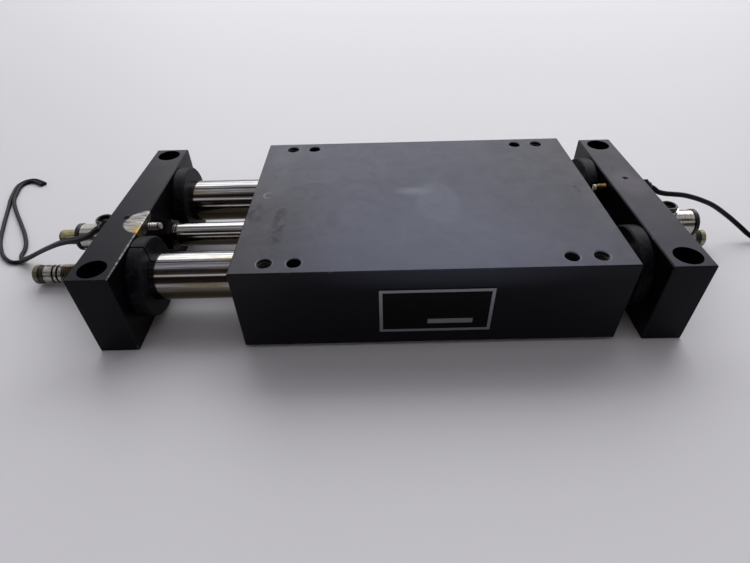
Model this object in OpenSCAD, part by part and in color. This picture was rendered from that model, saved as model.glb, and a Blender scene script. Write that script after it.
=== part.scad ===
// Pneumatic slide table: a carriage block with a built-in cylinder runs on two
// round guide rods between two end plates. The piston rod stands still, and air
// reaches both sides of the piston through it. Millimetres, +X along the travel,
// +Z up, origin on the mounting face midway between the end plates.

/* [Slide] */
// Width of the carriage and of both end plates
slide_w = 127; // [114:0.5:170]

/* [Carriage] */
// Length of the carriage along the travel
carriage_l = 177.8; // [160:0.1:260]
// Height of the carriage block
carriage_h = 44.45; // [43:0.05:60]
// Gap between the carriage and the mounting face
carriage_lift = 1.6; // [1:0.1:4]
// Chamfer on the edges of the carriage and the plates
edge_break = 0.5; // [0.2:0.1:1]
// Full travel from bumper to bumper
stroke = 50.8; // [20:0.1:60]
// Gap left to the right-hand bumpers at rest
rest_gap = 6.35; // [1:0.05:18]

/* [Carriage holes] */
// Distance of the tapped holes from the carriage ends
tapped_inset = 15.1; // [10:0.1:20]
// Drilled diameter of the tapped holes
tapped_d = 6.8; // [5:0.1:7.4]
// Distance from each tapped hole to the dowel hole inboard of it
dowel_step = 13; // [9:0.1:18]
// Diameter of the dowel holes
dowel_d = 6.6; // [4:0.1:7.2]
// Distance of both rows of holes from the long edges
row_inset = 7.4; // [6:0.1:9]
// Depth of the tapped and dowel holes
top_hole_depth = 12.7; // [6:0.1:14]

/* [End plates] */
// Thickness of each end plate
plate_t = 19.05; // [18:0.05:30]
// Height of each end plate
plate_h = 44.45; // [44.3:0.05:60]
// Distance of the hold-down holes from the plate ends
hold_inset = 7.94; // [7:0.02:8]
// Clearance diameter of the hold-down holes
hold_d = 8.73; // [6:0.01:10]
// Diameter of the hold-down counterbores
hold_cbore_d = 12.7; // [11:0.1:13]
// Depth of the hold-down counterbores
hold_cbore_depth = 8.4; // [4:0.1:12]

/* [Guide rods] */
// Diameter of the guide rods
guide_d = 23.8; // [18:0.1:24]
// Wall between the cylinder bore and the bores of the ball bushings
guide_web = 4.05; // [3:0.05:6]
// Height of the rod axes over the mounting face
rod_z = 24; // [23.5:0.1:24.4]
// Depth of the guide rod seats in the plates
guide_seat = 5.5; // [4:0.1:6]
// Diameter of the rubber bumpers
bumper_d = 39.6; // [30:0.1:40]
// Thickness of the rubber bumpers
bumper_t = 7.15; // [7:0.05:10]
// Width of the slit that lets a bumper spread over its rod
bumper_slit = 0.9; // [0.5:0.1:1.5]
// Outer diameter of the ball bushings
bushing_d = 34.9; // [33:0.1:35]
// Length of the ball bushings
bushing_l = 44; // [30:1:55]
// Thickness of the rod wipers
wiper_t = 3.2; // [2:0.1:4]

/* [Guide rod screws] */
// Thread diameter of the guide rod screws
guide_screw_d = 9.5; // [8:0.1:10]
// Head diameter of the guide rod screws
guide_head_d = 14.3; // [13:0.1:15]
// Head height of the guide rod screws
guide_head_h = 8; // [6:0.1:9]
// Length of thread in the guide rod
guide_screw_grip = 16; // [10:1:24]

/* [Cylinder] */
// Diameter of the cylinder bore in the carriage
bore_d = 28.6; // [25:0.1:30]
// Diameter of the piston rod
piston_rod_d = 12.7; // [11:0.1:13]
// Thickness of the piston
piston_t = 20; // [16:0.5:26]
// Length of each cylinder head
head_l = 45; // [30:1:48]
// Diameter of the air passages in the piston rod
air_d = 4; // [3:0.1:4.6]
// Distance across the flats of the rod nuts
rod_nut_af = 15.9; // [15.5:0.1:18]
// Thickness of the rod nuts
rod_nut_t = 5.7; // [4:0.1:6]

/* [Sensors] */
// Thread diameter of the proximity sensors
sensor_d = 4; // [3.5:0.1:5]
// Distance of each sensor from the centre plane
sensor_y = 14.1; // [13.5:0.1:15]
// Distance of the sensor axes below the plates' tops
sensor_drop = 5.35; // [5:0.05:6.5]
// Length of each sensor past the inner plate face
sensor_reach = 6.4; // [3:0.1:6.9]
// Distance across the flats of the sensor nuts
sensor_nut_af = 7.5; // [7:0.1:8]
// Thickness of the sensor nuts
sensor_nut_t = 3.4; // [2:0.1:4]
// Length of each sensor past its nut
sensor_tail = 1; // [0.5:0.1:1.5]
// Length of the sensor boots
boot_l = 1.5; // [1.2:0.1:2]

/* [Shock absorbers] */
// Thread diameter of the shock absorbers
shock_d = 10.8; // [10:0.1:11]
// Distance of each shock absorber from the centre plane
shock_y = 10; // [9:0.1:12]
// Height of the shock absorber axes
shock_z = 6.1; // [6:0.1:8]
// Knob end to outer plate face on the left
shock_out_left = 55.6; // [40:0.1:60]
// Knob end to outer plate face on the right
shock_out_right = 45.2; // [40:0.1:60]
// Thickness of the plunger buttons
plunger_button_t = 1.2; // [1:0.1:2]
// Distance across the flats of the shock absorber nuts
shock_nut_af = 12; // [11.6:0.1:12]
// Thickness of the shock absorber nuts
shock_nut_t = 4.8; // [4:0.1:6]
// Diameter of the knurled adjuster knobs
shock_knob_d = 10.8; // [10:0.1:11.5]
// Thickness of the knurled adjuster knobs
shock_knob_t = 3.4; // [2:0.1:4]
// Thickness of the rubber ring under each adjuster knob
shock_ring_t = 2.4; // [1.5:0.1:3]

/* [Flow controls] */
// Distance across the flats of the flow control hexagons
flow_af = 14; // [12:0.1:14.5]
// Length of the flow control hexagons
flow_hex_l = 4; // [3:0.1:5]
// Diameter of the flow control barrels
flow_d = 14; // [12:0.1:14.5]
// Length of the flow control barrel from the hexagon's base
flow_l = 25.5; // [25:0.1:28]
// Distance of the upright leg from the hexagon's base
leg_x = 11; // [10:0.1:11.5]
// Diameter of the upright leg
leg_d = 10.8; // [10:0.1:11.5]
// Height of the upright leg over the rod axis
leg_h = 9.6; // [9:0.1:12]
// Outer diameter of the air tube that the leg takes
tube_d = 6; // [4:0.1:6.5]
// Depth of the air tube's socket
tube_depth = 7; // [5:0.1:7]
// Height of the release ring over the leg
release_t = 2; // [1.5:0.1:3]
// Diameter of the lock collar that the needle knob turns in
collar_d = 14.8; // [12:0.1:15]
// Length of the lock collar
collar_l = 2.3; // [2:0.1:4]
// Diameter of the needle knob
needle_knob_d = 8.2; // [7:0.1:9]
// Length of the needle knob
needle_knob_l = 12; // [11:0.1:12.4]
// Length of the left needle knob past its collar
needle_out_left = 10.5; // [1:0.1:10.8]
// Length of the right needle knob past its collar
needle_out_right = 1; // [1:0.1:10.8]

/* [Nameplate] */
// Length of the blank nameplate
nameplate_l = 51.6; // [30:0.1:80]
// Height of the blank nameplate
nameplate_h = 25.6; // [15:0.1:30]
// Thickness of the blank nameplate
nameplate_t = 0.5; // [0.3:0.1:1]
// Distance of the nameplate from the carriage middle
nameplate_x = 2; // [-20:0.5:20]

/* [Sensor leads] */
// Diameter of each strand of the left twin lead
strand_d = 2.4; // [2:0.1:2.6]
// Diameter of the right lead
lead_d = 2.8; // [2:0.1:3]

/* [Hidden] */
$fn = 64;

// Clearances: slide is a running fit, thread is a screwed joint drawn plain
slide = 0.05;
thread = 0.05;
eps = 0.01;

// Turn that brings a hexagon's flat to the top
flat_up = 30;

// Inner plate faces, and the carriage's place at rest
gap_x = (carriage_l + stroke) / 2 + bumper_t;
outer_x = gap_x + plate_t;
carriage_x = stroke / 2 - rest_gap;
carriage_z = carriage_lift + carriage_h / 2;
hold_y = slide_w / 2 - hold_inset;
guide_y = (bore_d + bushing_d) / 2 + guide_web;
sensor_z = plate_h - sensor_drop;

// Cylinder head parts, measured inwards from the carriage's end faces
clip_inset = 2;
clip_t = 1.3;
clip_lip = 1.2;
head_inset = clip_inset + clip_t + 0.1;
head_seal_w = 2.6;
head_seal_depth = 1.8;
rod_seal_l = 4.6;
rod_seal_wall = 3.1;

// How far the rod nuts are turned from corner up
nut_turn = 6;

// Turns of the bumpers' slits from straight up
front_slit = -8;
hidden_slit = 150;

// Piston parts
seal_w = 3;
seal_depth = 2.6;
piston_clip_t = 1.2;
piston_clip_d = piston_rod_d + 3;
clip_groove = 0.75;
piston_gap = 0.2;
air_hole_d = 3;
air_hole_x = piston_t / 2 + piston_clip_t + 3;
air_end_x = air_hole_x - air_hole_d / 2 - 0.5;

// Carriage bores
guide_clear = 1.6;
wiper_recess = 0.3;
bushing_inset = wiper_recess + wiper_t;
bushing_groove_w = 1.3;
bushing_groove = 0.7;
bushing_groove_x = 6;

// Shock absorber parts
plunger_d = 3.2;
plunger_button_d = 4.8;
plunger_stem = 18;
plunger_short = 0.25;
plunger_travel = bumper_t - plunger_short - plunger_button_t;
knob_stem_d = 5;
knob_stem_l = 5;
groove_1 = 4.9;
groove_2 = 7.4;
groove_w = 1.1;
groove_depth = 0.5;
knurl_teeth = 36;
knurl_depth = 0.35;

// Flow control parts
stem_d = 4.8;
stem_l = 6;
needle_d = 3.6;
needle_l = 8;
knob_bore_d = needle_knob_d + 2 * slide;
knob_bore_x = flow_l + collar_l + needle_out_right - needle_knob_l;
release_d = 9.2;
needle_slot_w = 1;
needle_slot_depth = 1.2;

// Sensor parts
face_t = 1.2;
boot_d = 5.2;
boot_x = plate_t + sensor_nut_t + sensor_tail;
set_screw_d = 3;
set_screw_gap = 0.2;
set_screw_sink = 0.4;

// Left twin lead from the boot to the split, its axis
left_route = [
    [-145.7, -14.1, 39.1], [-148.5, -14.6, 38.1], [-152.5, -15.2, 35.5],
    [-159, -14.3, 32.6], [-167, -11.6, 29.6], [-175.5, -8.4, 25.9],
    [-186, -3.6, 20], [-197, 2, 13.2], [-207, 6, 7.1], [-213.5, 8.2, 3.4],
    [-218, 9.2, 1.5]
];
// Front strand round the eye, from the split to the join
front_strand_route = [
    [-218.2, 8, 1.2], [-222.5, 8.2, 1.2], [-228, 11.3, 1.2], [-233, 16, 1.2],
    [-237.5, 22, 1.2], [-241.8, 29, 1.2], [-246, 37.5, 1.2],
    [-250.3, 47.5, 1.2], [-254.3, 57, 1.2], [-258, 66, 1.2],
    [-261.5, 74.5, 1.2], [-264.7, 82.6, 1.2]
];
// Rear strand round the eye, from the split to the join
rear_strand_route = [
    [-217.9, 10.6, 1.2], [-220.6, 14.4, 1.2], [-221.8, 20, 1.2],
    [-224.3, 26.5, 1.2], [-228, 33, 1.2], [-232.5, 39.8, 1.2],
    [-237.6, 46.8, 1.2], [-243.2, 54.3, 1.2], [-249, 62, 1.2],
    [-255, 70.4, 1.2], [-262.3, 81.8, 1.2]
];
// The rejoined tail of the left lead, its axis
tail_route = [
    [-263.5, 82.2, 1.2], [-266.2, 90.5, 1.2], [-268.3, 98, 1.2],
    [-268.7, 103.2, 1.2], [-266.6, 107.6, 1.2], [-262.4, 109.2, 1.2],
    [-257.6, 107.2, 1.2], [-252, 103.6, 1.2]
];
// Right lead from the boot to its loose turn and cut end
right_route = [
    [145.7, 14.1, 39.1], [148.2, 13.9, 38], [151.4, 13.6, 35.8],
    [155.5, 13.7, 34.5], [161, 14.1, 33.6], [167, 15, 32.4], [174, 16, 30.2],
    [181.5, 17, 27.2], [189.5, 18, 23.3], [197, 18.6, 18.6], [204.5, 18.5, 13.5],
    [211.5, 17, 8.4], [217.5, 14, 4.1], [223.5, 10.4, 1.7], [231, 4.6, 1.4],
    [238, -1.6, 1.4], [243.4, -9, 1.4], [244.5, -18, 1.4], [240.5, -26.5, 1.4],
    [232.5, -31.5, 1.4], [223, -31, 1.4], [215.5, -25.5, 1.4],
    [212.6, -16.8, 1.4], [215.4, -8.2, 1.4], [222.6, -3.6, 1.4],
    [230.8, -5.6, 1.4], [236.2, -12.4, 1.4]
];

// ---------------------------------------------------------------- helpers

// Turned shape about the X axis; each point is [radius, x]
module turned(points) {
    rotate([0, 90, 0]) rotate_extrude() polygon(points);
}

// Round bar along X from x0 to x1
module bar(d, x0, x1) {
    translate([x0, 0, 0]) rotate([0, 90, 0]) cylinder(d = d, h = x1 - x0);
}

// Round bar with chamfered ends
module eased_bar(d, x0, x1, c) {
    turned([
        [0, x0], [d / 2 - c, x0], [d / 2, x0 + c],
        [d / 2, x1 - c], [d / 2 - c, x1], [0, x1]
    ]);
}

// Ring about X from x0 to x1
module ring(d_out, d_in, x0, x1) {
    turned([[d_in / 2, x0], [d_out / 2, x0], [d_out / 2, x1], [d_in / 2, x1]]);
}

// Hexagonal prism about X with chamfered corners
module hexagon(af, x0, x1, turn = 0) {
    across = af / cos(30);
    c = (across - af) / 4;
    intersection() {
        translate([x0, 0, 0]) rotate([turn, 0, 0]) rotate([0, 90, 0])
            cylinder(d = across, h = x1 - x0, $fn = 6);
        eased_bar(across - eps, x0, x1, c);
    }
}

// Block centred on the origin with all twelve edges chamfered
module eased_block(l, w, h, c) {
    intersection() {
        eased_prism(l, w, h, c);
        rotate([90, 0, 0]) eased_prism(l, h, w, c);
        rotate([0, 90, 0]) eased_prism(h, w, l, c);
    }
}

module eased_prism(l, w, h, c) {
    x = l / 2;
    y = w / 2;
    translate([0, 0, -h / 2]) linear_extrude(h) polygon([
        [-x + c, -y], [x - c, -y], [x, -y + c], [x, y - c],
        [x - c, y], [-x + c, y], [-x, y - c], [-x, -y + c]
    ]);
}

// Straight-knurled disc about X
module knurled(d, x0, x1) {
    step = 180 / knurl_teeth;
    translate([x0, 0, 0]) rotate([0, 90, 0]) linear_extrude(x1 - x0) polygon([
        for (i = [0 : 2 * knurl_teeth - 1])
            let (r = d / 2 - (i % 2) * knurl_depth)
            [r * cos(i * step), r * sin(i * step)]
    ]);
}

// Puts a part on an end plate: x = 0 is the inner face, +x points outwards,
// and the left end is the right end turned half a turn about Z
module at_end(side) {
    rotate([0, 0, side > 0 ? 0 : 180]) translate([gap_x, 0, 0]) children();
}

// Puts a part on the carriage's end face: +x points outwards
module at_carriage_end(side) {
    translate([carriage_x, 0, 0]) mirror([side > 0 ? 0 : 1, 0, 0])
        translate([carriage_l / 2, 0, 0]) children();
}

module at_guides() {
    for (side = [-1, 1]) translate([0, side * guide_y, rod_z]) children();
}

// Tube swept along a route, w wide and h high, from eight-sided rings
function unit(v) = v / norm(v);
function heading(route, i) =
    unit(route[min(i + 1, len(route) - 1)] - route[max(i - 1, 0)]);
function swept_ring(route, i, w, h) =
    let (t = heading(route, i), u = unit(cross([0, 0, 1], t)), v = cross(t, u))
    [for (k = [0 : 7]) let (a = 45 * k + 22.5)
        route[i] + w / 2 * cos(a) * u + h / 2 * sin(a) * v];

module swept(route, w, h) {
    n = len(route);
    polyhedron(
        points = [for (i = [0 : n - 1]) each swept_ring(route, i, w, h)],
        faces = concat(
            [[for (k = [0 : 7]) k]],
            [for (i = [0 : n - 2], k = [0 : 7]) let (m = (k + 1) % 8)
                [8 * i + k, 8 * i + 8 + k, 8 * i + 8 + m]],
            [for (i = [0 : n - 2], k = [0 : 7]) let (m = (k + 1) % 8)
                [8 * i + k, 8 * i + 8 + m, 8 * i + m]],
            [[for (k = [7 : -1 : 0]) 8 * (n - 1) + k]]
        )
    );
}

// ------------------------------------------------------------- end plates

// Both plates are one part: seats and screws for the guide rods, a hole for
// the piston rod, and threads for the sensor and the shock absorber
module end_plate() {
    difference() {
        translate([plate_t / 2, 0, plate_h / 2])
            eased_block(plate_t, slide_w, plate_h, edge_break);
        for (side = [-1, 1]) translate([plate_t / 2, side * hold_y, 0]) {
            translate([0, 0, -1]) cylinder(d = hold_d, h = plate_h + 2);
            translate([0, 0, plate_h - hold_cbore_depth])
                cylinder(d = hold_cbore_d, h = hold_cbore_depth + 1);
        }
        at_guides() {
            bar(guide_d + 2 * slide, -1, guide_seat);
            bar(guide_screw_d + 0.5, 0, plate_t + 1);
            bar(guide_head_d + 0.8, plate_t - guide_head_h - 0.3, plate_t + 1);
        }
        translate([0, 0, rod_z])
            bar(piston_rod_d + 2 * thread, -1, plate_t + 1);
        translate([0, sensor_y, sensor_z]) {
            bar(sensor_d + 2 * thread, -1, plate_t + 1);
            translate([plate_t / 2, 0, 0])
                cylinder(d = set_screw_d + 2 * thread, h = plate_h);
        }
        translate([0, shock_y, shock_z])
            bar(shock_d + 2 * thread, -1, plate_t + 1);
    }
}

module left_end_plate() {
    color("#2b2b2f") at_end(-1) end_plate();
}

module right_end_plate() {
    color("#2b2b2f") at_end(1) end_plate();
}

// ------------------------------------------------- guide rods and bumpers

module guide_rod() {
    half = gap_x + guide_seat;
    translate([0, 0, rod_z]) difference() {
        eased_bar(guide_d, -half, half, 0.8);
        for (side = [-1, 1]) mirror([side > 0 ? 0 : 1, 0, 0])
            bar(guide_screw_d + 2 * thread, half - guide_screw_grip - 3, half + 1);
    }
}

module front_guide_rod() {
    color("#c9c9cb") translate([0, -guide_y, 0]) guide_rod();
}

module rear_guide_rod() {
    color("#c9c9cb") translate([0, guide_y, 0]) guide_rod();
}

// Socket head screw from the plate's outer face into the rod's end
module guide_rod_screw() {
    head_x = plate_t - guide_head_h;
    difference() {
        union() {
            turned([
                [0, head_x], [guide_head_d / 2, head_x],
                [guide_head_d / 2, plate_t - 0.6],
                [guide_head_d / 2 - 0.6, plate_t], [0, plate_t]
            ]);
            bar(guide_screw_d, guide_seat - guide_screw_grip, head_x + eps);
        }
        translate([plate_t - guide_head_h / 2, 0, 0]) rotate([0, 90, 0])
            cylinder(d = guide_screw_d * 0.96, h = guide_head_h, $fn = 6);
    }
}

module guide_rod_screws() {
    color("#303033") for (side = [-1, 1]) at_end(side) at_guides()
        translate([-0.3, 0, 0]) guide_rod_screw();
}

// Rubber ring pushed over the guide rod against the plate, its slit turned
// from straight up
module bumper(slit_turn) {
    r = bumper_d / 2;
    c = 0.7;
    translate([0, 0, rod_z]) difference() {
        turned([
            [guide_d / 2 + slide, -bumper_t], [r - c, -bumper_t],
            [r, -bumper_t + c], [r, -c], [r - c, 0], [guide_d / 2 + slide, 0]
        ]);
        rotate([slit_turn, 0, 0]) translate([-bumper_t - 1, -bumper_slit / 2, 0])
            cube([bumper_t + 2, bumper_slit, bumper_d]);
    }
}

module left_front_bumper() {
    color("#39393d") at_end(-1) translate([0, guide_y, 0]) bumper(front_slit);
}

module left_rear_bumper() {
    color("#39393d") at_end(-1) translate([0, -guide_y, 0]) bumper(hidden_slit);
}

module right_front_bumper() {
    color("#39393d") at_end(1) translate([0, -guide_y, 0]) bumper(hidden_slit);
}

module right_rear_bumper() {
    color("#39393d") at_end(1) translate([0, guide_y, 0]) bumper(hidden_slit);
}

// ------------------------------------------------- piston rod and piston

// Still rod, threaded at both ends. Each end is bored for air, which leaves
// through a cross hole beside the piston
module piston_rod() {
    color("#bfc0c2") translate([0, 0, rod_z]) difference() {
        eased_bar(piston_rod_d, -outer_x, outer_x, 0.8);
        for (side = [-1, 1]) {
            mirror([side > 0 ? 0 : 1, 0, 0]) {
                bar(air_d, air_end_x, outer_x + 1);
                bar(stem_d + 2 * thread, outer_x - stem_l - 0.5, outer_x + 1);
            }
            translate([side * air_hole_x, 0, -piston_rod_d])
                cylinder(d = air_hole_d, h = 2 * piston_rod_d);
            groove_x = side * (piston_t + piston_clip_t) / 2;
            ring(
                piston_rod_d + 1, piston_rod_d - 2 * clip_groove,
                groove_x - piston_clip_t / 2, groove_x + piston_clip_t / 2
            );
        }
    }
}

// Piston with two grooves for its seals
module piston() {
    r = bore_d / 2 - piston_gap;
    inner = piston_rod_d / 2 + thread;
    groove_r = r - seal_depth;
    a = piston_t / 2;
    b = piston_t / 4;
    color("#b9bcc0") translate([0, 0, rod_z]) turned([
        [inner, -a], [r - 0.4, -a], [r, -a + 0.4],
        [r, -b - seal_w / 2], [groove_r, -b - seal_w / 2],
        [groove_r, -b + seal_w / 2], [r, -b + seal_w / 2],
        [r, b - seal_w / 2], [groove_r, b - seal_w / 2],
        [groove_r, b + seal_w / 2], [r, b + seal_w / 2],
        [r, a - 0.4], [r - 0.4, a], [inner, a]
    ]);
}

module piston_seals() {
    r = bore_d / 2 - piston_gap;
    color("#1d1d1f") translate([0, 0, rod_z])
        for (x = [-piston_t / 4, piston_t / 4])
            ring(
                bore_d - 2 * slide, 2 * (r - seal_depth) + 0.1,
                x - seal_w / 2 + 0.1, x + seal_w / 2 - 0.1
            );
}

module piston_clips() {
    color("#7c7c80") translate([0, 0, rod_z]) for (side = [-1, 1]) {
        x = side * (piston_t + piston_clip_t) / 2;
        difference() {
            ring(
                piston_clip_d, piston_rod_d - 2 * clip_groove + 0.1,
                x - piston_clip_t / 2 + 0.02, x + piston_clip_t / 2 - 0.02
            );
            translate([x - piston_clip_t, -2, 0])
                cube([2 * piston_clip_t, 4, piston_clip_d]);
        }
    }
}

// Jam nut on the rod against the plate's inner face
module rod_nut(turn) {
    translate([0, 0, rod_z]) difference() {
        hexagon(rod_nut_af, -rod_nut_t, 0, turn);
        bar(piston_rod_d + 2 * thread, -rod_nut_t - 1, 1);
    }
}

module left_rod_nut() {
    color("#2a2927") at_end(-1) rod_nut(nut_turn);
}

module right_rod_nut() {
    color("#2a2927") at_end(1) rod_nut(-nut_turn);
}

// --------------------------------------------------------------- sensors

// Threaded barrel of a proximity sensor, screwed through the plate
module sensor() {
    translate([0, sensor_y, sensor_z])
        eased_bar(sensor_d, -sensor_reach + face_t, boot_x, 0.3);
}

module sensor_face() {
    translate([0, sensor_y, sensor_z])
        eased_bar(sensor_d - 0.6, -sensor_reach, -sensor_reach + face_t, 0.2);
}

// Jam nut against the plate's outer face
module sensor_nut() {
    translate([0, sensor_y, sensor_z]) difference() {
        hexagon(sensor_nut_af, plate_t, plate_t + sensor_nut_t);
        bar(sensor_d + 2 * thread, plate_t - 1, plate_t + sensor_nut_t + 1);
    }
}

module sensor_boot() {
    r = boot_d / 2;
    translate([0, sensor_y, sensor_z]) turned([
        [0, boot_x], [r, boot_x], [r, boot_x + boot_l / 2],
        [r - 0.5, boot_x + boot_l], [0, boot_x + boot_l]
    ]);
}

module left_sensor() {
    color("#b4b2aa") at_end(-1) sensor();
}

module right_sensor() {
    color("#b09a5e") at_end(1) sensor();
}

module left_sensor_face() {
    color("#2f2c2a") at_end(-1) sensor_face();
}

module right_sensor_face() {
    color("#dedbd2") at_end(1) sensor_face();
}

module left_sensor_nut() {
    color("#6f6e6c") at_end(-1) sensor_nut();
}

module right_sensor_nut() {
    color("#6f6e6c") at_end(1) sensor_nut();
}

module left_sensor_boot() {
    color("#1c1c1e") at_end(-1) sensor_boot();
}

module right_sensor_boot() {
    color("#1c1c1e") at_end(1) sensor_boot();
}

// Small set screws from the plates' tops that lock the sensors
module sensor_set_screws() {
    z0 = sensor_z + sensor_d / 2 + set_screw_gap;
    z1 = plate_h - set_screw_sink;
    color("#232326") for (side = [-1, 1]) at_end(side)
        translate([plate_t / 2, sensor_y, z0]) difference() {
            cylinder(d = set_screw_d, h = z1 - z0);
            translate([0, 0, (z1 - z0) / 2])
                cylinder(d = set_screw_d / 2, h = z1, $fn = 6);
        }
}

// -------------------------------------------------------- shock absorbers

function barrel_end(out) = plate_t + out - shock_knob_t - shock_ring_t;

// Threaded barrel, flush with the inner plate face: the plunger slides in its
// inner end, the knob's stem turns in its outer end, and two grooves mark the
// end of the thread
module shock_barrel(out) {
    x1 = barrel_end(out);
    r = shock_d / 2;
    translate([0, shock_y, shock_z]) difference() {
        turned([
            [0, 0], [r - 0.6, 0], [r, 0.6],
            [r, x1 - groove_2 - groove_w], [r - groove_depth, x1 - groove_2 - groove_w],
            [r - groove_depth, x1 - groove_2], [r, x1 - groove_2],
            [r, x1 - groove_1 - groove_w], [r - groove_depth, x1 - groove_1 - groove_w],
            [r - groove_depth, x1 - groove_1], [r, x1 - groove_1],
            [r, x1 - 0.4], [r - 0.4, x1], [0, x1]
        ]);
        bar(plunger_d + 2 * slide, -1, plunger_stem + plunger_travel + 1);
        bar(knob_stem_d + 2 * slide, x1 - knob_stem_l - 0.5, x1 + 1);
    }
}

module shock_nut() {
    translate([0, shock_y, shock_z]) difference() {
        hexagon(shock_nut_af, plate_t, plate_t + shock_nut_t, flat_up);
        bar(shock_d + 2 * thread, 0, plate_t + shock_nut_t + 1);
    }
}

module shock_ring(out) {
    x = barrel_end(out);
    translate([0, shock_y, shock_z])
        ring(shock_d - 0.8, knob_stem_d + 2 * slide, x, x + shock_ring_t);
}

module shock_knob(out) {
    x = barrel_end(out);
    translate([0, shock_y, shock_z]) {
        bar(knob_stem_d, x - knob_stem_l, x + shock_ring_t + slide + eps);
        knurled(shock_knob_d, x + shock_ring_t + slide, plate_t + out - 0.5);
        bar(shock_knob_d - 1.4, plate_t + out - 0.6, plate_t + out);
    }
}

// Plunger whose button stops just short of the bumpers' face
module shock_plunger() {
    translate([0, shock_y, shock_z]) {
        eased_bar(
            plunger_button_d, -plunger_travel - plunger_button_t,
            -plunger_travel, 0.3
        );
        bar(plunger_d, -plunger_travel - eps, plunger_stem);
    }
}

module left_shock_barrel() {
    color("#b7b3a8") at_end(-1) shock_barrel(shock_out_left);
}

module right_shock_barrel() {
    color("#b7b3a8") at_end(1) shock_barrel(shock_out_right);
}

module left_shock_nut() {
    color("#a9a69c") at_end(-1) shock_nut();
}

module right_shock_nut() {
    color("#a9a69c") at_end(1) shock_nut();
}

module left_shock_ring() {
    color("#17171a") at_end(-1) shock_ring(shock_out_left);
}

module right_shock_ring() {
    color("#17171a") at_end(1) shock_ring(shock_out_right);
}

module left_shock_knob() {
    color("#8f8459") at_end(-1) shock_knob(shock_out_left);
}

module right_shock_knob() {
    color("#8f8459") at_end(1) shock_knob(shock_out_right);
}

module left_shock_plunger() {
    color("#a8a8aa") at_end(-1) shock_plunger();
}

module right_shock_plunger() {
    color("#a8a8aa") at_end(1) shock_plunger();
}

// ---------------------------------------------------------- flow controls

// Elbow flow control screwed into the piston rod's end: hexagon, barrel with
// the needle's bore, and an upright leg that an air tube pushes into
module flow_control() {
    translate([plate_t, 0, rod_z]) difference() {
        union() {
            hexagon(flow_af, 0, flow_hex_l);
            eased_bar(flow_d, flow_hex_l - eps, flow_l, 0.4);
            translate([leg_x, 0, 0]) cylinder(d = leg_d, h = leg_h);
            bar(stem_d, -stem_l, eps);
        }
        bar(stem_d / 2, -stem_l - 1, leg_x);
        bar(needle_d + 2 * slide, knob_bore_x - needle_l - 0.5, flow_l + 1);
        bar(knob_bore_d, knob_bore_x - slide, flow_l + 1);
        translate([leg_x, 0, 0]) cylinder(d = stem_d / 2, h = leg_h);
        translate([leg_x, 0, leg_h - tube_depth])
            cylinder(d = tube_d + 0.2, h = tube_depth + 1);
    }
}

// Push-in collar that frees the air tube
module release_ring() {
    translate([plate_t + leg_x, 0, rod_z + leg_h]) rotate([0, -90, 0]) turned([
        [tube_d / 2 + 0.3, 0], [release_d / 2, 0],
        [release_d / 2, release_t - 0.4], [release_d / 2 - 0.4, release_t],
        [tube_d / 2 + 0.6, release_t], [tube_d / 2 + 0.3, release_t - 0.4]
    ]);
}

module needle_collar() {
    x0 = plate_t + flow_l;
    c = 0.4;
    r = collar_d / 2;
    translate([0, 0, rod_z]) turned([
        [knob_bore_d / 2, x0], [r - c, x0], [r, x0 + c],
        [r, x0 + collar_l - c], [r - c, x0 + collar_l],
        [knob_bore_d / 2, x0 + collar_l]
    ]);
}

// Knurled knob with the needle's stem and a screwdriver slot, screwed out by
// the given length past the collar
module needle_knob(out) {
    x1 = plate_t + flow_l + collar_l + out;
    x0 = x1 - needle_knob_l;
    translate([0, 0, rod_z]) difference() {
        union() {
            bar(needle_d, x0 - needle_l, x0 + eps);
            knurled(needle_knob_d, x0, x1 - 1);
            eased_bar(needle_knob_d - 1, x1 - 1 - eps, x1, 0.3);
        }
        translate([x1 - needle_slot_depth, -needle_knob_d, -needle_slot_w / 2])
            cube([needle_slot_depth + 1, 2 * needle_knob_d, needle_slot_w]);
    }
}

module left_flow_control() {
    color("#b9b8b4") at_end(-1) flow_control();
}

module right_flow_control() {
    color("#b9b8b4") at_end(1) flow_control();
}

module left_release_ring() {
    color("#1b1b1d") at_end(-1) release_ring();
}

module right_release_ring() {
    color("#1b1b1d") at_end(1) release_ring();
}

module left_needle_collar() {
    color("#1b1b1d") at_end(-1) needle_collar();
}

module right_needle_collar() {
    color("#1b1b1d") at_end(1) needle_collar();
}

module left_needle_knob() {
    color("#9a9160") at_end(-1) needle_knob(needle_out_left);
}

module right_needle_knob() {
    color("#9a9160") at_end(1) needle_knob(needle_out_right);
}

// --------------------------------------------------------------- carriage

// Hole in the carriage's top with a small countersink
module top_hole(x, y, d) {
    top = carriage_z + carriage_h / 2;
    translate([carriage_x + x, y, top - top_hole_depth])
        cylinder(d = d, h = top_hole_depth + 1);
    translate([carriage_x + x, y, top - 0.5])
        cylinder(d1 = d, d2 = d + 2, h = 1);
}

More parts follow.
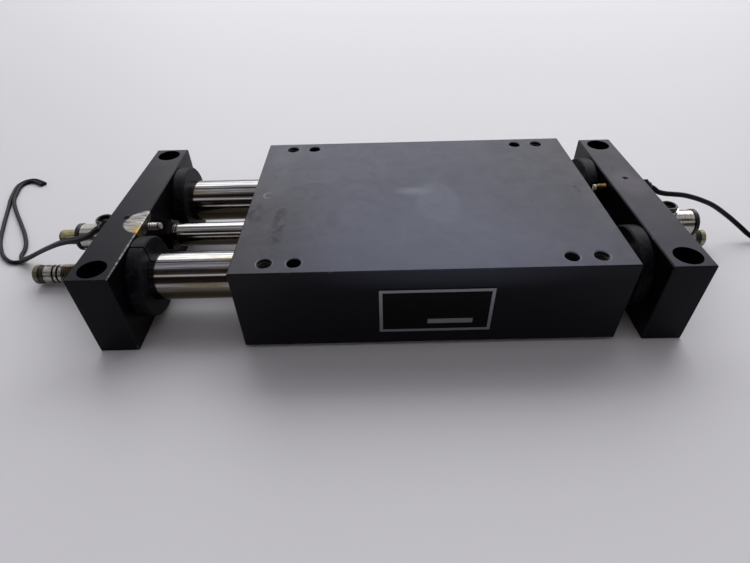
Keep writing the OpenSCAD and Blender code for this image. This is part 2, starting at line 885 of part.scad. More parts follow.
module carriage_block() {
    tapped_x = carriage_l / 2 - tapped_inset;
    row_y = slide_w / 2 - row_inset;
    color("#35353a") difference() {
        translate([carriage_x, 0, carriage_z])
            eased_block(carriage_l, slide_w, carriage_h, edge_break);
        for (side = [-1, 1]) at_carriage_end(side) {
            at_guides() bar(bushing_d + 2 * slide, -bushing_inset - bushing_l, 1);
            translate([0, 0, rod_z]) ring(
                bore_d + 2 * clip_lip, bore_d - 1,
                -clip_inset - clip_t, -clip_inset
            );
        }
        translate([carriage_x, 0, 0]) {
            at_guides()
                bar(guide_d + 2 * guide_clear, -carriage_l / 2, carriage_l / 2);
            translate([0, 0, rod_z])
                bar(bore_d, -carriage_l / 2 - 1, carriage_l / 2 + 1);
        }
        for (x = [-tapped_x, tapped_x], y = [-row_y, row_y]) {
            top_hole(x, y, tapped_d);
            top_hole(x - sign(x) * dowel_step, y, dowel_d);
        }
    }
}

// Ball bushing: a hardened sleeve with two retaining grooves
module bushing() {
    x1 = -bushing_inset;
    x0 = x1 - bushing_l;
    r = bushing_d / 2;
    a = bushing_groove_x;
    b = bushing_groove_x + bushing_groove_w;
    translate([0, 0, rod_z]) turned([
        [guide_d / 2 + slide, x0], [r - 0.5, x0], [r, x0 + 0.5],
        [r, x0 + a], [r - bushing_groove, x0 + a],
        [r - bushing_groove, x0 + b], [r, x0 + b],
        [r, x1 - b], [r - bushing_groove, x1 - b],
        [r - bushing_groove, x1 - a], [r, x1 - a],
        [r, x1 - 0.5], [r - 0.5, x1], [guide_d / 2 + slide, x1]
    ]);
}

module front_left_bushing() {
    color("#8f9196") at_carriage_end(-1) translate([0, -guide_y, 0]) bushing();
}

module front_right_bushing() {
    color("#8f9196") at_carriage_end(1) translate([0, -guide_y, 0]) bushing();
}

module rear_left_bushing() {
    color("#8f9196") at_carriage_end(-1) translate([0, guide_y, 0]) bushing();
}

module rear_right_bushing() {
    color("#8f9196") at_carriage_end(1) translate([0, guide_y, 0]) bushing();
}

// Lipped wipers in front of the bushings
module guide_rod_wipers() {
    x0 = -wiper_recess - wiper_t;
    x1 = -wiper_recess;
    lip = guide_d / 2 + slide;
    color("#202022") for (side = [-1, 1]) at_carriage_end(side) at_guides()
        turned([
            [lip + 1.4, x0], [bushing_d / 2, x0], [bushing_d / 2, x1],
            [lip + 1.6, x1], [lip + 0.9, x1 - 1], [lip, x1 - 0.6],
            [lip, x1 - 1.6], [lip + 1.4, x1 - 2.4]
        ]);
}

// Cylinder head: closes the bore and guides the piston rod, with a groove for
// its own seal and a pocket for the rod seal
module cylinder_head() {
    x1 = -head_inset;
    x0 = x1 - head_l;
    r = bore_d / 2 - slide;
    mid = x1 - head_l / 3;
    inner = piston_rod_d / 2 + slide;
    pocket = piston_rod_d / 2 + rod_seal_wall;
    translate([0, 0, rod_z]) turned([
        [inner, x0], [r - 0.5, x0], [r, x0 + 0.5],
        [r, mid - head_seal_w], [r - head_seal_depth, mid - head_seal_w],
        [r - head_seal_depth, mid], [r, mid],
        [r, x1], [pocket, x1], [pocket, x1 - rod_seal_l],
        [inner, x1 - rod_seal_l]
    ]);
}

module left_cylinder_head() {
    color("#c3c6c9") at_carriage_end(-1) cylinder_head();
}

module right_cylinder_head() {
    color("#c3c6c9") at_carriage_end(1) cylinder_head();
}

module head_seals() {
    mid = -head_inset - head_l / 3;
    color("#1d1d1f") for (side = [-1, 1]) at_carriage_end(side)
        translate([0, 0, rod_z]) ring(
            bore_d - 2 * slide, bore_d - 2 * slide - 2 * head_seal_depth + 0.1,
            mid - head_seal_w + 0.1, mid - 0.1
        );
}

module rod_seals() {
    x1 = -head_inset;
    color("#1d1d1f") for (side = [-1, 1]) at_carriage_end(side)
        translate([0, 0, rod_z]) ring(
            piston_rod_d + 2 * rod_seal_wall - 0.1, piston_rod_d + 2 * slide,
            x1 - rod_seal_l + 0.05, x1
        );
}

// Spring clips that hold the heads in the bore
module head_clips() {
    color("#6d6d70") for (side = [-1, 1]) at_carriage_end(side)
        translate([0, 0, rod_z]) difference() {
            ring(
                bore_d + 2 * clip_lip - 0.2, bore_d - 5,
                -clip_inset - clip_t + 0.05, -clip_inset - 0.05
            );
            translate([-clip_inset - 2 * clip_t, -3.5, -bore_d])
                cube([4 * clip_t, 7, bore_d]);
        }
}

// Blank plate on the carriage's front face
module nameplate() {
    color("#1a1a1c") translate([
        carriage_x + nameplate_x, -slide_w / 2 - nameplate_t / 2,
        carriage_lift + 0.47 * carriage_h
    ]) cube([nameplate_l, nameplate_t, nameplate_h], center = true);
}

// ------------------------------------------------------------ sensor leads

// Where the twin lead starts to follow the sensor's boot
module left_lead() {
    color("#19191b") swept(left_route, 2 * strand_d, strand_d);
}

module left_front_strand() {
    color("#19191b") swept(front_strand_route, strand_d, strand_d);
}

module left_rear_strand() {
    color("#19191b") swept(rear_strand_route, strand_d, strand_d);
}

module left_lead_tail() {
    color("#19191b") swept(tail_route, 2 * strand_d, strand_d);
}

module right_lead() {
    color("#19191b") swept(right_route, lead_d, lead_d);
}

left_end_plate();
right_end_plate();
front_guide_rod();
rear_guide_rod();
guide_rod_screws();
left_front_bumper();
left_rear_bumper();
right_front_bumper();
right_rear_bumper();
piston_rod();
piston();
piston_seals();
piston_clips();
left_rod_nut();
right_rod_nut();
left_sensor();
right_sensor();
left_sensor_face();
right_sensor_face();
left_sensor_nut();
right_sensor_nut();
left_sensor_boot();
right_sensor_boot();
sensor_set_screws();
left_shock_barrel();
right_shock_barrel();
left_shock_nut();
right_shock_nut();
left_shock_ring();
right_shock_ring();
left_shock_knob();
right_shock_knob();
left_shock_plunger();
right_shock_plunger();
left_flow_control();
right_flow_control();
left_release_ring();
right_release_ring();
left_needle_collar();
right_needle_collar();
left_needle_knob();
right_needle_knob();
carriage_block();
front_left_bushing();
front_right_bushing();
rear_left_bushing();
rear_right_bushing();
guide_rod_wipers();
left_cylinder_head();
right_cylinder_head();
head_seals();
rod_seals();
head_clips();
nameplate();
left_lead();
left_front_strand();
left_rear_strand();
left_lead_tail();
right_lead();
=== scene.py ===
from math import atan2, hypot, pi, radians

import bmesh
import bpy
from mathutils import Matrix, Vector


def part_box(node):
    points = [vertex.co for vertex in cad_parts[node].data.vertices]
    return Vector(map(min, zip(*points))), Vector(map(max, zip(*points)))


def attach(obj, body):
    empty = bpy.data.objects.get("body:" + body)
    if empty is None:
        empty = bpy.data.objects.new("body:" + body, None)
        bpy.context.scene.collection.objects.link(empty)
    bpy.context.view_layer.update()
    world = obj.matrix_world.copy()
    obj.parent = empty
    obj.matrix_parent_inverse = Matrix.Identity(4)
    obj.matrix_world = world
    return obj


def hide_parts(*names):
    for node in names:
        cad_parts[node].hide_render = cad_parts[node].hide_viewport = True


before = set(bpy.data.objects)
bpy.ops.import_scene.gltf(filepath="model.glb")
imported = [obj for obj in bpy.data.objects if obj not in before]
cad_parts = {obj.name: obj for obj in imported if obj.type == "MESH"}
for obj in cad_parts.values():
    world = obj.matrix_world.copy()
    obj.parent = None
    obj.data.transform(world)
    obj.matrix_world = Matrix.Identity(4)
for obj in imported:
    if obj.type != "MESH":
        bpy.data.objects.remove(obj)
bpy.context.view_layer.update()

bpy.ops.object.select_all(action="DESELECT")

# ---------------------------------------------------------------- camera
# The slide is seen from in front and above, as it lies on a bench, through
# a wide lens held close to it.
MM = 0.001
camera_data = bpy.data.cameras.new("camera")
camera_data.lens = 23.71
camera_data.clip_start = 10 * MM
camera = bpy.data.objects.new("camera", camera_data)
camera.location = Vector((-5.2, -226.4, 178.3)) * MM
camera.rotation_euler = [radians(a) for a in (49.74, 1.21, -0.62)]
bpy.context.scene.collection.objects.link(camera)
bpy.context.scene.camera = camera

# ---------------------------------------------------------- sensor leads
# The left sensor has a flat twin lead, two PVC strands moulded side by side,
# pulled apart round an eye and joined again up to the cut end. The right
# sensor has a single round lead, whose far end lies in a loose turn.
STRAND = 2.4
LEAD = 2.8
joined_route = [
    [-145.7, -14.1, 39.1], [-148.5, -14.6, 38.1], [-152.5, -15.2, 35.5],
    [-159, -14.3, 32.6], [-167, -11.6, 29.6], [-175.5, -8.4, 25.9],
    [-186, -3.6, 20], [-197, 2, 13.2], [-207, 6, 7.1], [-213.5, 8.2, 3.4],
    [-218, 9.2, 1.5],
]
front_eye_route = [
    [-222.5, 8.2, 1.2], [-228, 11.3, 1.2], [-233, 16, 1.2],
    [-237.5, 22, 1.2], [-241.8, 29, 1.2], [-246, 37.5, 1.2],
    [-250.3, 47.5, 1.2], [-254.3, 57, 1.2], [-258, 66, 1.2],
    [-261.5, 74.5, 1.2],
]
rear_eye_route = [
    [-220.6, 14.4, 1.2], [-221.8, 20, 1.2], [-224.3, 26.5, 1.2],
    [-228, 33, 1.2], [-232.5, 39.8, 1.2], [-237.6, 46.8, 1.2],
    [-243.2, 54.3, 1.2], [-249, 62, 1.2], [-255, 70.4, 1.2],
]
tail_route = [
    [-263.5, 82.2, 1.2], [-266.2, 90.5, 1.2], [-268.3, 98, 1.2],
    [-268.7, 103.2, 1.2], [-266.6, 107.6, 1.2], [-262.4, 109.2, 1.2],
    [-257.6, 107.2, 1.2], [-252, 103.6, 1.2],
]
right_route = [
    [145.7, 14.1, 39.1], [148.2, 13.9, 38], [151.4, 13.6, 35.8],
    [155.5, 13.7, 34.5], [161, 14.1, 33.6], [167, 15, 32.4], [174, 16, 30.2],
    [181.5, 17, 27.2], [189.5, 18, 23.3], [197, 18.6, 18.6], [204.5, 18.5, 13.5],
    [211.5, 17, 8.4], [217.5, 14, 4.1], [223.5, 10.4, 1.7], [231, 4.6, 1.4],
    [238, -1.6, 1.4], [243.4, -9, 1.4], [244.5, -18, 1.4], [240.5, -26.5, 1.4],
    [232.5, -31.5, 1.4], [223, -31, 1.4], [215.5, -25.5, 1.4],
    [212.6, -16.8, 1.4], [215.4, -8.2, 1.4], [222.6, -3.6, 1.4],
    [230.8, -5.6, 1.4], [236.2, -12.4, 1.4],
]


def colour(hex_code):
    """The linear colour of an sRGB hex value."""
    parts = [int(hex_code[i:i + 2], 16) / 255 for i in (0, 2, 4)]
    return [c / 12.92 if c <= 0.04045 else ((c + 0.055) / 1.055) ** 2.4 for c in parts] + [1]


def feed(material, node, inputs):
    """Gives a node its inputs: a socket is linked to one, anything else is its value."""
    for name, value in inputs.items():
        if isinstance(value, bpy.types.NodeSocket):
            material.node_tree.links.new(value, node.inputs[name])
        else:
            node.inputs[name].default_value = value


def add_node(material, kind, inputs=None, **settings):
    """Adds a node with its settings, and the values or sockets that feed it."""
    new = material.node_tree.nodes.new(kind)
    for name, value in settings.items():
        setattr(new, name, value)
    feed(material, new, inputs or {})
    return new


def new_material(name, **sockets):
    """A material and its shader, with the sockets that are the same all over it."""
    material = bpy.data.materials.new(name)
    material.use_nodes = True
    shader = material.node_tree.nodes["Principled BSDF"]
    feed(material, shader, {
        socket.replace("_", " "): value for socket, value in sockets.items()
    })
    return material, shader


def beside(route, side):
    """One strand's points: half a strand to the side of the joined lead's axis."""
    points = [Vector(p) for p in route]
    moved = []
    for i, point in enumerate(points):
        along = points[min(i + 1, len(points) - 1)] - points[max(i - 1, 0)]
        moved.append(point + side * STRAND / 2 * Vector((0, 0, 1)).cross(along).normalized())
    return moved


def lay_cord(name, route, diameter, replaced):
    """A round cord through the route's points, given in millimetres.

    The bevel is 1 deep and each point carries the cord's radius, because the
    curve's box counts a point's radius and not the bevel.
    """
    curve = bpy.data.curves.new(name, "CURVE")
    curve.dimensions = "3D"
    curve.bevel_depth = 1
    curve.bevel_resolution = 4
    curve.resolution_u = 8
    curve.use_fill_caps = True
    spline = curve.splines.new("BEZIER")
    spline.bezier_points.add(len(route) - 1)
    for bezier, point in zip(spline.bezier_points, route):
        bezier.co = Vector(point) * MM
        bezier.radius = diameter / 2 * MM
        bezier.handle_left_type = bezier.handle_right_type = "AUTO"
    cord = bpy.data.objects.new(name, curve)
    bpy.context.scene.collection.objects.link(cord)
    bpy.context.view_layer.update()
    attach(cord, "base")
    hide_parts(*replaced)
    return cord


# Extruded PVC: soft black with a low sheen, dusty where it has lain on a bench
jacket, shader = new_material(
    "black_pvc_jacket", Roughness=0.45, IOR=1.53, Specular_IOR_Level=0.15,
)
place = add_node(jacket, "ShaderNodeTexCoord").outputs["Object"]
dust = add_node(jacket, "ShaderNodeTexNoise", {
    "Vector": place, "Scale": 1 / (6 * MM), "Detail": 6,
})
dusting = add_node(jacket, "ShaderNodeMapRange", {
    "Value": dust.outputs["Fac"], "From Min": 0.45, "From Max": 0.8,
})
jacket_colour = add_node(jacket, "ShaderNodeMix", {
    "Factor": dusting.outputs["Result"], "A": colour("030308"), "B": colour("0f0f18"),
}, data_type="RGBA")
jacket_skin = add_node(jacket, "ShaderNodeTexNoise", {
    "Vector": place, "Scale": 1 / (0.3 * MM), "Detail": 2,
})
jacket_bump = add_node(jacket, "ShaderNodeBump", {
    "Height": jacket_skin.outputs["Fac"], "Distance": 0.02 * MM, "Strength": 0.5,
})
feed(jacket, shader, {
    "Base Color": jacket_colour.outputs["Result"], "Normal": jacket_bump.outputs["Normal"],
})

left_front_lead = lay_cord(
    "left_front_lead", beside(joined_route, 1) + front_eye_route + beside(tail_route, 1),
    STRAND, ["left_lead", "left_front_strand", "left_lead_tail"],
)
left_rear_lead = lay_cord(
    "left_rear_lead", beside(joined_route, -1) + rear_eye_route + beside(tail_route, -1),
    STRAND, ["left_rear_strand"],
)
right_round_lead = lay_cord("right_round_lead", right_route, LEAD, ["right_lead"])
for lead in (left_front_lead, left_rear_lead, right_round_lead):
    lead.data.materials.append(jacket)

# ---------------------------------------------- carriage block, end plates
# Three blocks milled from aluminium bar, with broken edges, and anodised a
# satin black. The coat is worn through in places along the edges, and the
# carriage's tapped holes show their threads.
EDGE = 0.5


def put_on(material, *names):
    """Gives CAD parts a finish in place of their plain one."""
    for name in names:
        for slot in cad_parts[name].material_slots:
            slot.material = material


def spot(material, place, centre, radii, soft):
    """A mask that is 1 inside an ellipsoid, given in millimetres, with a soft rim."""
    off = add_node(material, "ShaderNodeVectorMath", {
        0: place, 1: Vector(centre) * MM,
    }, operation="SUBTRACT")
    scaled = add_node(material, "ShaderNodeVectorMath", {
        0: off.outputs[0], 1: Vector(radii) * MM,
    }, operation="DIVIDE")
    reach = add_node(material, "ShaderNodeVectorMath", {0: scaled.outputs[0]}, operation="LENGTH")
    return add_node(material, "ShaderNodeMapRange", {
        "Value": reach.outputs["Value"], "From Min": 1 + soft / 2, "From Max": 1 - soft / 2,
    }, interpolation_type="SMOOTHSTEP").outputs["Result"]


def near_edges(material, place, low, high):
    """A mask that is 1 on the broken edges of a block and 0 on its faces."""
    middle, half = (high + low) / 2, (high - low) / 2
    off = add_node(material, "ShaderNodeVectorMath", {0: place, 1: middle}, operation="SUBTRACT")
    away = add_node(material, "ShaderNodeVectorMath", {0: off.outputs[0]}, operation="ABSOLUTE")
    depth = add_node(material, "ShaderNodeVectorMath", {
        0: half, 1: away.outputs[0],
    }, operation="SUBTRACT")
    axes = add_node(material, "ShaderNodeSeparateXYZ", {"Vector": depth.outputs[0]})
    x, y, z = (axes.outputs[axis] for axis in "XYZ")
    nearer = add_node(material, "ShaderNodeMath", {0: x, 1: y}, operation="MINIMUM")
    farther = add_node(material, "ShaderNodeMath", {0: x, 1: y}, operation="MAXIMUM")
    other = add_node(material, "ShaderNodeMath", {0: farther.outputs[0], 1: z}, operation="MINIMUM")
    second = add_node(material, "ShaderNodeMath", {
        0: nearer.outputs[0], 1: other.outputs[0],
    }, operation="MAXIMUM")
    return add_node(material, "ShaderNodeMapRange", {
        "Value": second.outputs[0], "From Min": 1.4 * EDGE * MM, "From Max": 0.9 * EDGE * MM,
    }).outputs["Result"]


def black_anodised(name, block, dust, gloss):
    """Anodised aluminium: a dyed oxide skin, satin over the fine lines of the mill.

    The skin is soaked with oil, which keeps its gloss low, and fine dust and a
    painted sheen, in the colour dust, lighten the faces that look up. Its tone is
    kept as layers, each a mask and the colour that shows where the mask is 1, and
    finish_block lays them on.
    """
    low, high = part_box(block)
    material, shader = new_material(
        name, IOR=1.5, Specular_IOR_Level=gloss, Specular_Tint=colour("d5d9f2"),
    )
    place = add_node(material, "ShaderNodeTexCoord").outputs["Object"]
    # The dye took unevenly: cloudy patches a few centimetres across
    clouds = add_node(material, "ShaderNodeTexNoise", {
        "Vector": place, "Scale": 1 / (24 * MM), "Detail": 5, "Roughness": 0.6, "Distortion": 0.6,
    })
    # The faces that look up are lightened by dust and a painted sheen
    facing = add_node(material, "ShaderNodeSeparateXYZ", {
        "Vector": add_node(material, "ShaderNodeNewGeometry").outputs["Normal"],
    })
    facing_up = add_node(material, "ShaderNodeMapRange", {
        "Value": facing.outputs["Z"], "From Min": 0.8, "From Max": 0.99,
    })
    patchy = add_node(material, "ShaderNodeMapRange", {
        "Value": clouds.outputs["Fac"], "From Min": 0.2, "From Max": 0.8, "To Min": 0.7,
    })
    dust_and_sheen = add_node(material, "ShaderNodeMath", {
        0: facing_up.outputs["Result"], 1: patchy.outputs["Result"],
    }, operation="MULTIPLY")
    # Mill lines along the block, drawn 0.8 mm apart so that they show at all
    stretch = add_node(material, "ShaderNodeVectorMath", {
        0: place, 1: (1 / (14 * MM), 1 / (0.8 * MM), 1 / (0.8 * MM)),
    }, operation="MULTIPLY")
    lines = add_node(material, "ShaderNodeTexNoise", {
        "Vector": stretch.outputs[0], "Scale": 1, "Detail": 3,
    })
    # Handling leaves lighter, duller smears on the satin skin
    smears = add_node(material, "ShaderNodeTexNoise", {
        "Vector": place, "Scale": 1 / (11 * MM), "Detail": 6, "Roughness": 0.7, "Distortion": 1.4,
    })
    sheen = add_node(material, "ShaderNodeMapRange", {
        "Value": smears.outputs["Fac"], "From Min": 0.3, "From Max": 0.75,
        "To Min": 0.33, "To Max": 0.45,
    })
    # A painted highlight lightens the broken edges a little, and they are bare metal where the skin
    # is rubbed off
    edge = near_edges(material, place, Vector(low), Vector(high))
    rubs = add_node(material, "ShaderNodeTexNoise", {
        "Vector": place, "Scale": 1 / (16 * MM), "Detail": 7, "Roughness": 0.75,
    })
    rubbed = add_node(material, "ShaderNodeMapRange", {
        "Value": rubs.outputs["Fac"], "From Min": 0.6, "From Max": 0.68,
    })
    bare = add_node(material, "ShaderNodeMath", {
        0: edge, 1: rubbed.outputs["Result"],
    }, operation="MULTIPLY").outputs[0]
    grain = add_node(material, "ShaderNodeTexNoise", {
        "Vector": place, "Scale": 1 / (0.35 * MM), "Detail": 2,
    })
    height = add_node(material, "ShaderNodeMath", {
        0: lines.outputs["Fac"], 1: grain.outputs["Fac"],
    }, operation="ADD").outputs[0]
    return material, shader, place, {
        # The edge layer is a painted highlight, and the layer of the faces that look up is dust and
        # painted sheen
        "layers": [
            (clouds.outputs["Fac"], "0a0a0e"), (dust_and_sheen.outputs[0], dust), (edge, "1d1d22"),
        ],
        "bare": bare, "metal": colour("5d5a55"), "rough": sheen.outputs["Result"], "height": height,
    }


def finish_block(material, shader, skin):
    """Lays the skin's layers on its dye, bares the metal and feeds the shader."""
    tone = colour("020203")
    layers = [(mask, colour(hex_code)) for mask, hex_code in skin["layers"]]
    for mask, over in layers + [(skin["bare"], skin["metal"])]:
        tone = add_node(material, "ShaderNodeMix", {
            "Factor": mask, "A": tone, "B": over,
        }, data_type="RGBA").outputs["Result"]
    bump = add_node(material, "ShaderNodeBump", {
        "Height": skin["height"], "Distance": 0.012 * MM, "Strength": 0.6,
    })
    feed(material, shader, {
        "Base Color": tone, "Metallic": skin["bare"], "Roughness": skin["rough"],
        "Normal": bump.outputs["Normal"],
    })


# The carriage carries the marks of use. A haze of fine scratches and dust
# lies where something stood on it, with a brighter streak in its middle.
carriage_skin, shader, place, skin = black_anodised(
    "black_anodised_carriage", "carriage_block", "3f4151", 0.18,
)
carriage_low, carriage_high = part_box("carriage_block")
top = carriage_high[2] / MM
haze = spot(carriage_skin, place, (26, -9, top), (11, 20, 4), 0.5)
dust = spot(carriage_skin, place, (-60, 28, top), (7, 26, 4), 1.2)
haze_noise = add_node(carriage_skin, "ShaderNodeTexNoise", {
    "Vector": place, "Scale": 1 / (5 * MM), "Detail": 7, "Roughness": 0.72, "Distortion": 1.0,
})
either = add_node(carriage_skin, "ShaderNodeMath", {0: haze, 1: dust}, operation="MAXIMUM")
hazy = add_node(carriage_skin, "ShaderNodeMath", {
    0: either.outputs[0], 1: haze_noise.outputs["Fac"],
}, operation="MULTIPLY")
streak = spot(carriage_skin, place, (15, 3, top), (8, 3.4, 2), 1.5)
skin["layers"] += [(hazy.outputs[0], "575a69"), (streak, "5b5e6c")]

# Two dark smears, a dark rub near the right end and three pits
wisps = add_node(carriage_skin, "ShaderNodeMapRange", {
    "Value": haze_noise.outputs["Fac"], "From Min": 0.42, "From Max": 0.75,
})
for centre, radii, soft in (
    ((-52.5, -29, top), (3, 17, 2), 1.3), ((-66, -15, top), (4, 8, 2), 1.2),
    ((100.3, 1, top), (1.6, 3.4, 2), 0.8), ((17.6, 35.6, top), (0.6, 0.9, 1), 0.5),
    ((27.6, 25, top), (0.5, 0.7, 1), 0.5), ((93.3, -22.3, top), (0.5, 0.6, 1), 0.5),
):
    mark = spot(carriage_skin, place, centre, radii, soft)
    faint = add_node(carriage_skin, "ShaderNodeMath", {
        0: mark, 1: wisps.outputs["Result"],
    }, operation="MULTIPLY")
    skin["layers"].append((faint.outputs[0], "010101"))
    skin["rough"] = add_node(carriage_skin, "ShaderNodeMath", {
        0: faint.outputs[0], 1: 0.3, 2: skin["rough"],
    }, operation="MULTIPLY_ADD").outputs[0]

# A curved scratch, the crescent between two ovals
ring = spot(carriage_skin, place, (-61.8, 1.8, top), (2.6, 3, 2), 0.16)
core = spot(carriage_skin, place, (-61.3, 1.8, top), (2.1, 2.5, 2), 0.16)
scratch = add_node(carriage_skin, "ShaderNodeMath", {
    0: ring, 1: core,
}, operation="SUBTRACT", use_clamp=True)
skin["layers"].append((scratch.outputs[0], "a3a3ab"))

# A painted pool of light lightens the middle of the front half. Painted shade
# makes both ends of the top darker and browner, the front left corner most.
for centre, radii, soft, share, tint in (
    ((28, -44, top), (52, 30, 9), 1.5, 0.6, "515463"),
    ((-80, -34, top), (40, 76, 9), 1.4, 0.85, "1e1916"),
    ((132, 32, top), (62, 100, 9), 1.4, 0.7, "1e1916"),
):
    stretch = spot(carriage_skin, place, centre, radii, soft)
    painted_shading = add_node(carriage_skin, "ShaderNodeMath", {
        0: stretch, 1: share,
    }, operation="MULTIPLY")
    skin["layers"].append((painted_shading.outputs[0], tint))

# The countersinks shine where the drill broke the skin. The four holes of a
# kind mirror each other about the carriage's middle, so one set of nodes does.
TAPPED, DOWEL = (73.8, 56.1), (60.8, 56.1)
TAPPED_R, DOWEL_R = 3.4, 3.3
middle = Vector(((carriage_low[0] + carriage_high[0]) / 2, 0, 0))
off = add_node(carriage_skin, "ShaderNodeVectorMath", {0: place, 1: middle}, operation="SUBTRACT")
folded = add_node(carriage_skin, "ShaderNodeVectorMath", {0: off.outputs[0]}, operation="ABSOLUTE")
flat = add_node(carriage_skin, "ShaderNodeVectorMath", {
    0: folded.outputs[0], 1: (1, 1, 0),
}, operation="MULTIPLY")
levels = add_node(carriage_skin, "ShaderNodeSeparateXYZ", {"Vector": folded.outputs[0]})
lip = add_node(carriage_skin, "ShaderNodeMapRange", {
    "Value": levels.outputs["Z"], "From Min": (top - 0.7) * MM, "From Max": (top - 0.4) * MM,
})
for centre, radius in ((TAPPED, TAPPED_R), (DOWEL, DOWEL_R)):
    reach = add_node(carriage_skin, "ShaderNodeVectorMath", {
        0: flat.outputs[0], 1: Vector((*centre, 0)) * MM,
    }, operation="DISTANCE")
    rim = add_node(carriage_skin, "ShaderNodeMapRange", {
        "Value": reach.outputs["Value"],
        "From Min": (radius + 0.7) * MM, "From Max": (radius + 0.45) * MM,
    })
    countersink = add_node(carriage_skin, "ShaderNodeMath", {
        0: rim.outputs["Result"], 1: lip.outputs["Result"],
    }, operation="MULTIPLY")
    skin["layers"].append((countersink.outputs[0], "77787f"))
finish_block(carriage_skin, shader, skin)
put_on(carriage_skin, "carriage_block")


def diamond(name, width, place):
    """The section of a thread's ridge, a square on its corner, left in edit mode."""
    bpy.ops.mesh.primitive_plane_add(
        size=width / 2 ** 0.5 * MM, rotation=(pi / 2, pi / 4, 0), location=Vector(place) * MM,
    )
    section = bpy.context.object
    section.name = name
    bpy.ops.object.transform_apply(location=False, rotation=True, scale=False)
    bpy.ops.object.mode_set(mode="EDIT")
    bpy.ops.mesh.select_mode(type="VERT")
    return section


def select_corner(section, way):
    """Selects the one corner of a section that lies farthest in a direction."""
    mesh = bmesh.from_edit_mesh(section.data)
    farthest = max(mesh.verts, key=lambda vertex: vertex.co.dot(Vector(way)))
    for vertex in mesh.verts:
        vertex.select_set(vertex is farthest)
    mesh.select_flush(True)
    bmesh.update_edit_mesh(section.data)


def wind(section, axis, pitch, turns):
    """Winds a section along an axis, one pitch forward in each turn."""
    screw = section.modifiers.new("wind", "SCREW")
    screw.axis = axis
    screw.steps = screw.render_steps = 24
    screw.screw_offset = pitch * MM
    screw.iterations = turns
    bpy.ops.object.modifier_apply(modifier="wind")


def finish_mesh(angle):
    """Turns all faces outwards, leaves edit mode and smooths bends under an angle."""
    bpy.ops.mesh.select_all(action="SELECT")
    bpy.ops.mesh.normals_make_consistent(inside=False)
    bpy.ops.object.mode_set(mode="OBJECT")
    bpy.ops.object.shade_smooth_by_angle(angle=radians(angle))


# The thread in the tapped holes is one ridge wound down each of them. Its
# outer corner is pulled in to the wall, which leaves a closed triangle.
TAP_PITCH = 1.41
TAP_TURNS = 8
TAP_RIDGE = 0.94 * TAP_PITCH
TAP_START = 1.2
ridge = diamond(
    "tapped_hole_thread_1", TAP_RIDGE,
    (TAPPED_R + 0.05, 0, top - TAP_START - TAP_TURNS * TAP_PITCH),
)
bpy.ops.mesh.delete(type="ONLY_FACE")
select_corner(ridge, (1, 0, 0))
bpy.ops.transform.translate(value=(-TAP_RIDGE / 2 * MM, 0, 0))
bpy.ops.object.mode_set(mode="OBJECT")
bpy.ops.object.transform_apply()
wind(ridge, "Z", TAP_PITCH, TAP_TURNS)
bpy.ops.object.mode_set(mode="EDIT")
bpy.ops.mesh.select_all(action="SELECT")
bpy.ops.mesh.fill_holes(sides=4)
finish_mesh(40)

# Cut aluminium shows grey through the skin in the flanks of the thread
cut_skin, shader = new_material("cut_thread_aluminium", Metallic=0.6, Roughness=0.38)
place = add_node(cut_skin, "ShaderNodeTexCoord").outputs["Object"]
chips = add_node(cut_skin, "ShaderNodeTexNoise", {
    "Vector": place, "Scale": 1 / (1.6 * MM), "Detail": 5, "Roughness": 0.7,
})
cut_tone = add_node(cut_skin, "ShaderNodeMix", {
    "Factor": chips.outputs["Fac"], "A": colour("060607"), "B": colour("3d3b38"),
}, data_type="RGBA")
chip_bump = add_node(cut_skin, "ShaderNodeBump", {
    "Height": chips.outputs["Fac"], "Distance": 0.03 * MM, "Strength": 0.5,
})
feed(cut_skin, shader, {
    "Base Color": cut_tone.outputs["Result"], "Normal": chip_bump.outputs["Normal"],
})
ridge.data.materials.append(cut_skin)
ridges = [ridge]
for number in (2, 3, 4):
    copy = ridge.copy()
    copy.data = ridge.data.copy()
    copy.name = "tapped_hole_thread_%d" % number
    bpy.context.scene.collection.objects.link(copy)
    ridges.append(copy)
for piece, (x, y) in zip(ridges, ((-1, -1), (1, -1), (-1, 1), (1, 1))):
    bpy.ops.object.select_all(action="DESELECT")
    piece.select_set(True)
    bpy.context.view_layer.objects.active = piece
    piece.location = middle + Vector((x * TAPPED[0], y * TAPPED[1], 0)) * MM
    bpy.ops.object.transform_apply()
    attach(piece, "carriage")

# The left plate's top is scraped to bare, streaked metal beside its set screw
left_skin, shader, place, skin = black_anodised(
    "black_anodised_left_plate", "left_end_plate", "141318", 0.11,
)
left_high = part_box("left_end_plate")[1]
inner, plate_top = left_high[0] / MM, left_high[2] / MM
ragged = add_node(left_skin, "ShaderNodeTexNoise", {
    "Vector": place, "Scale": 1 / (2.5 * MM), "Detail": 4,
})
wander = add_node(left_skin, "ShaderNodeVectorMath", {
    0: ragged.outputs["Color"], 1: (1.6 * MM, 1.6 * MM, 0),
}, operation="MULTIPLY")
ragged_place = add_node(left_skin, "ShaderNodeVectorMath", {
    0: place, 1: wander.outputs[0],
}, operation="SUBTRACT").outputs[0]
scrape = spot(left_skin, ragged_place, (inner - 0.4, -18.6, plate_top), (9.6, 9.8, 6), 0.1)
long_way = add_node(left_skin, "ShaderNodeVectorMath", {
    0: place, 1: (1 / (9 * MM), 1 / (1.1 * MM), 1 / (9 * MM)),
}, operation="MULTIPLY")
strokes = add_node(left_skin, "ShaderNodeTexNoise", {
    "Vector": long_way.outputs[0], "Scale": 1, "Detail": 4, "Roughness": 0.65,
})
stroke_tone = add_node(left_skin, "ShaderNodeMapRange", {
    "Value": strokes.outputs["Fac"], "From Min": 0.35, "From Max": 0.65,
})
skin["metal"] = colour("2d2b29")
gilt = spot(left_skin, place, (inner, -25, plate_top), (3.2, 3.5, 4), 0.9)
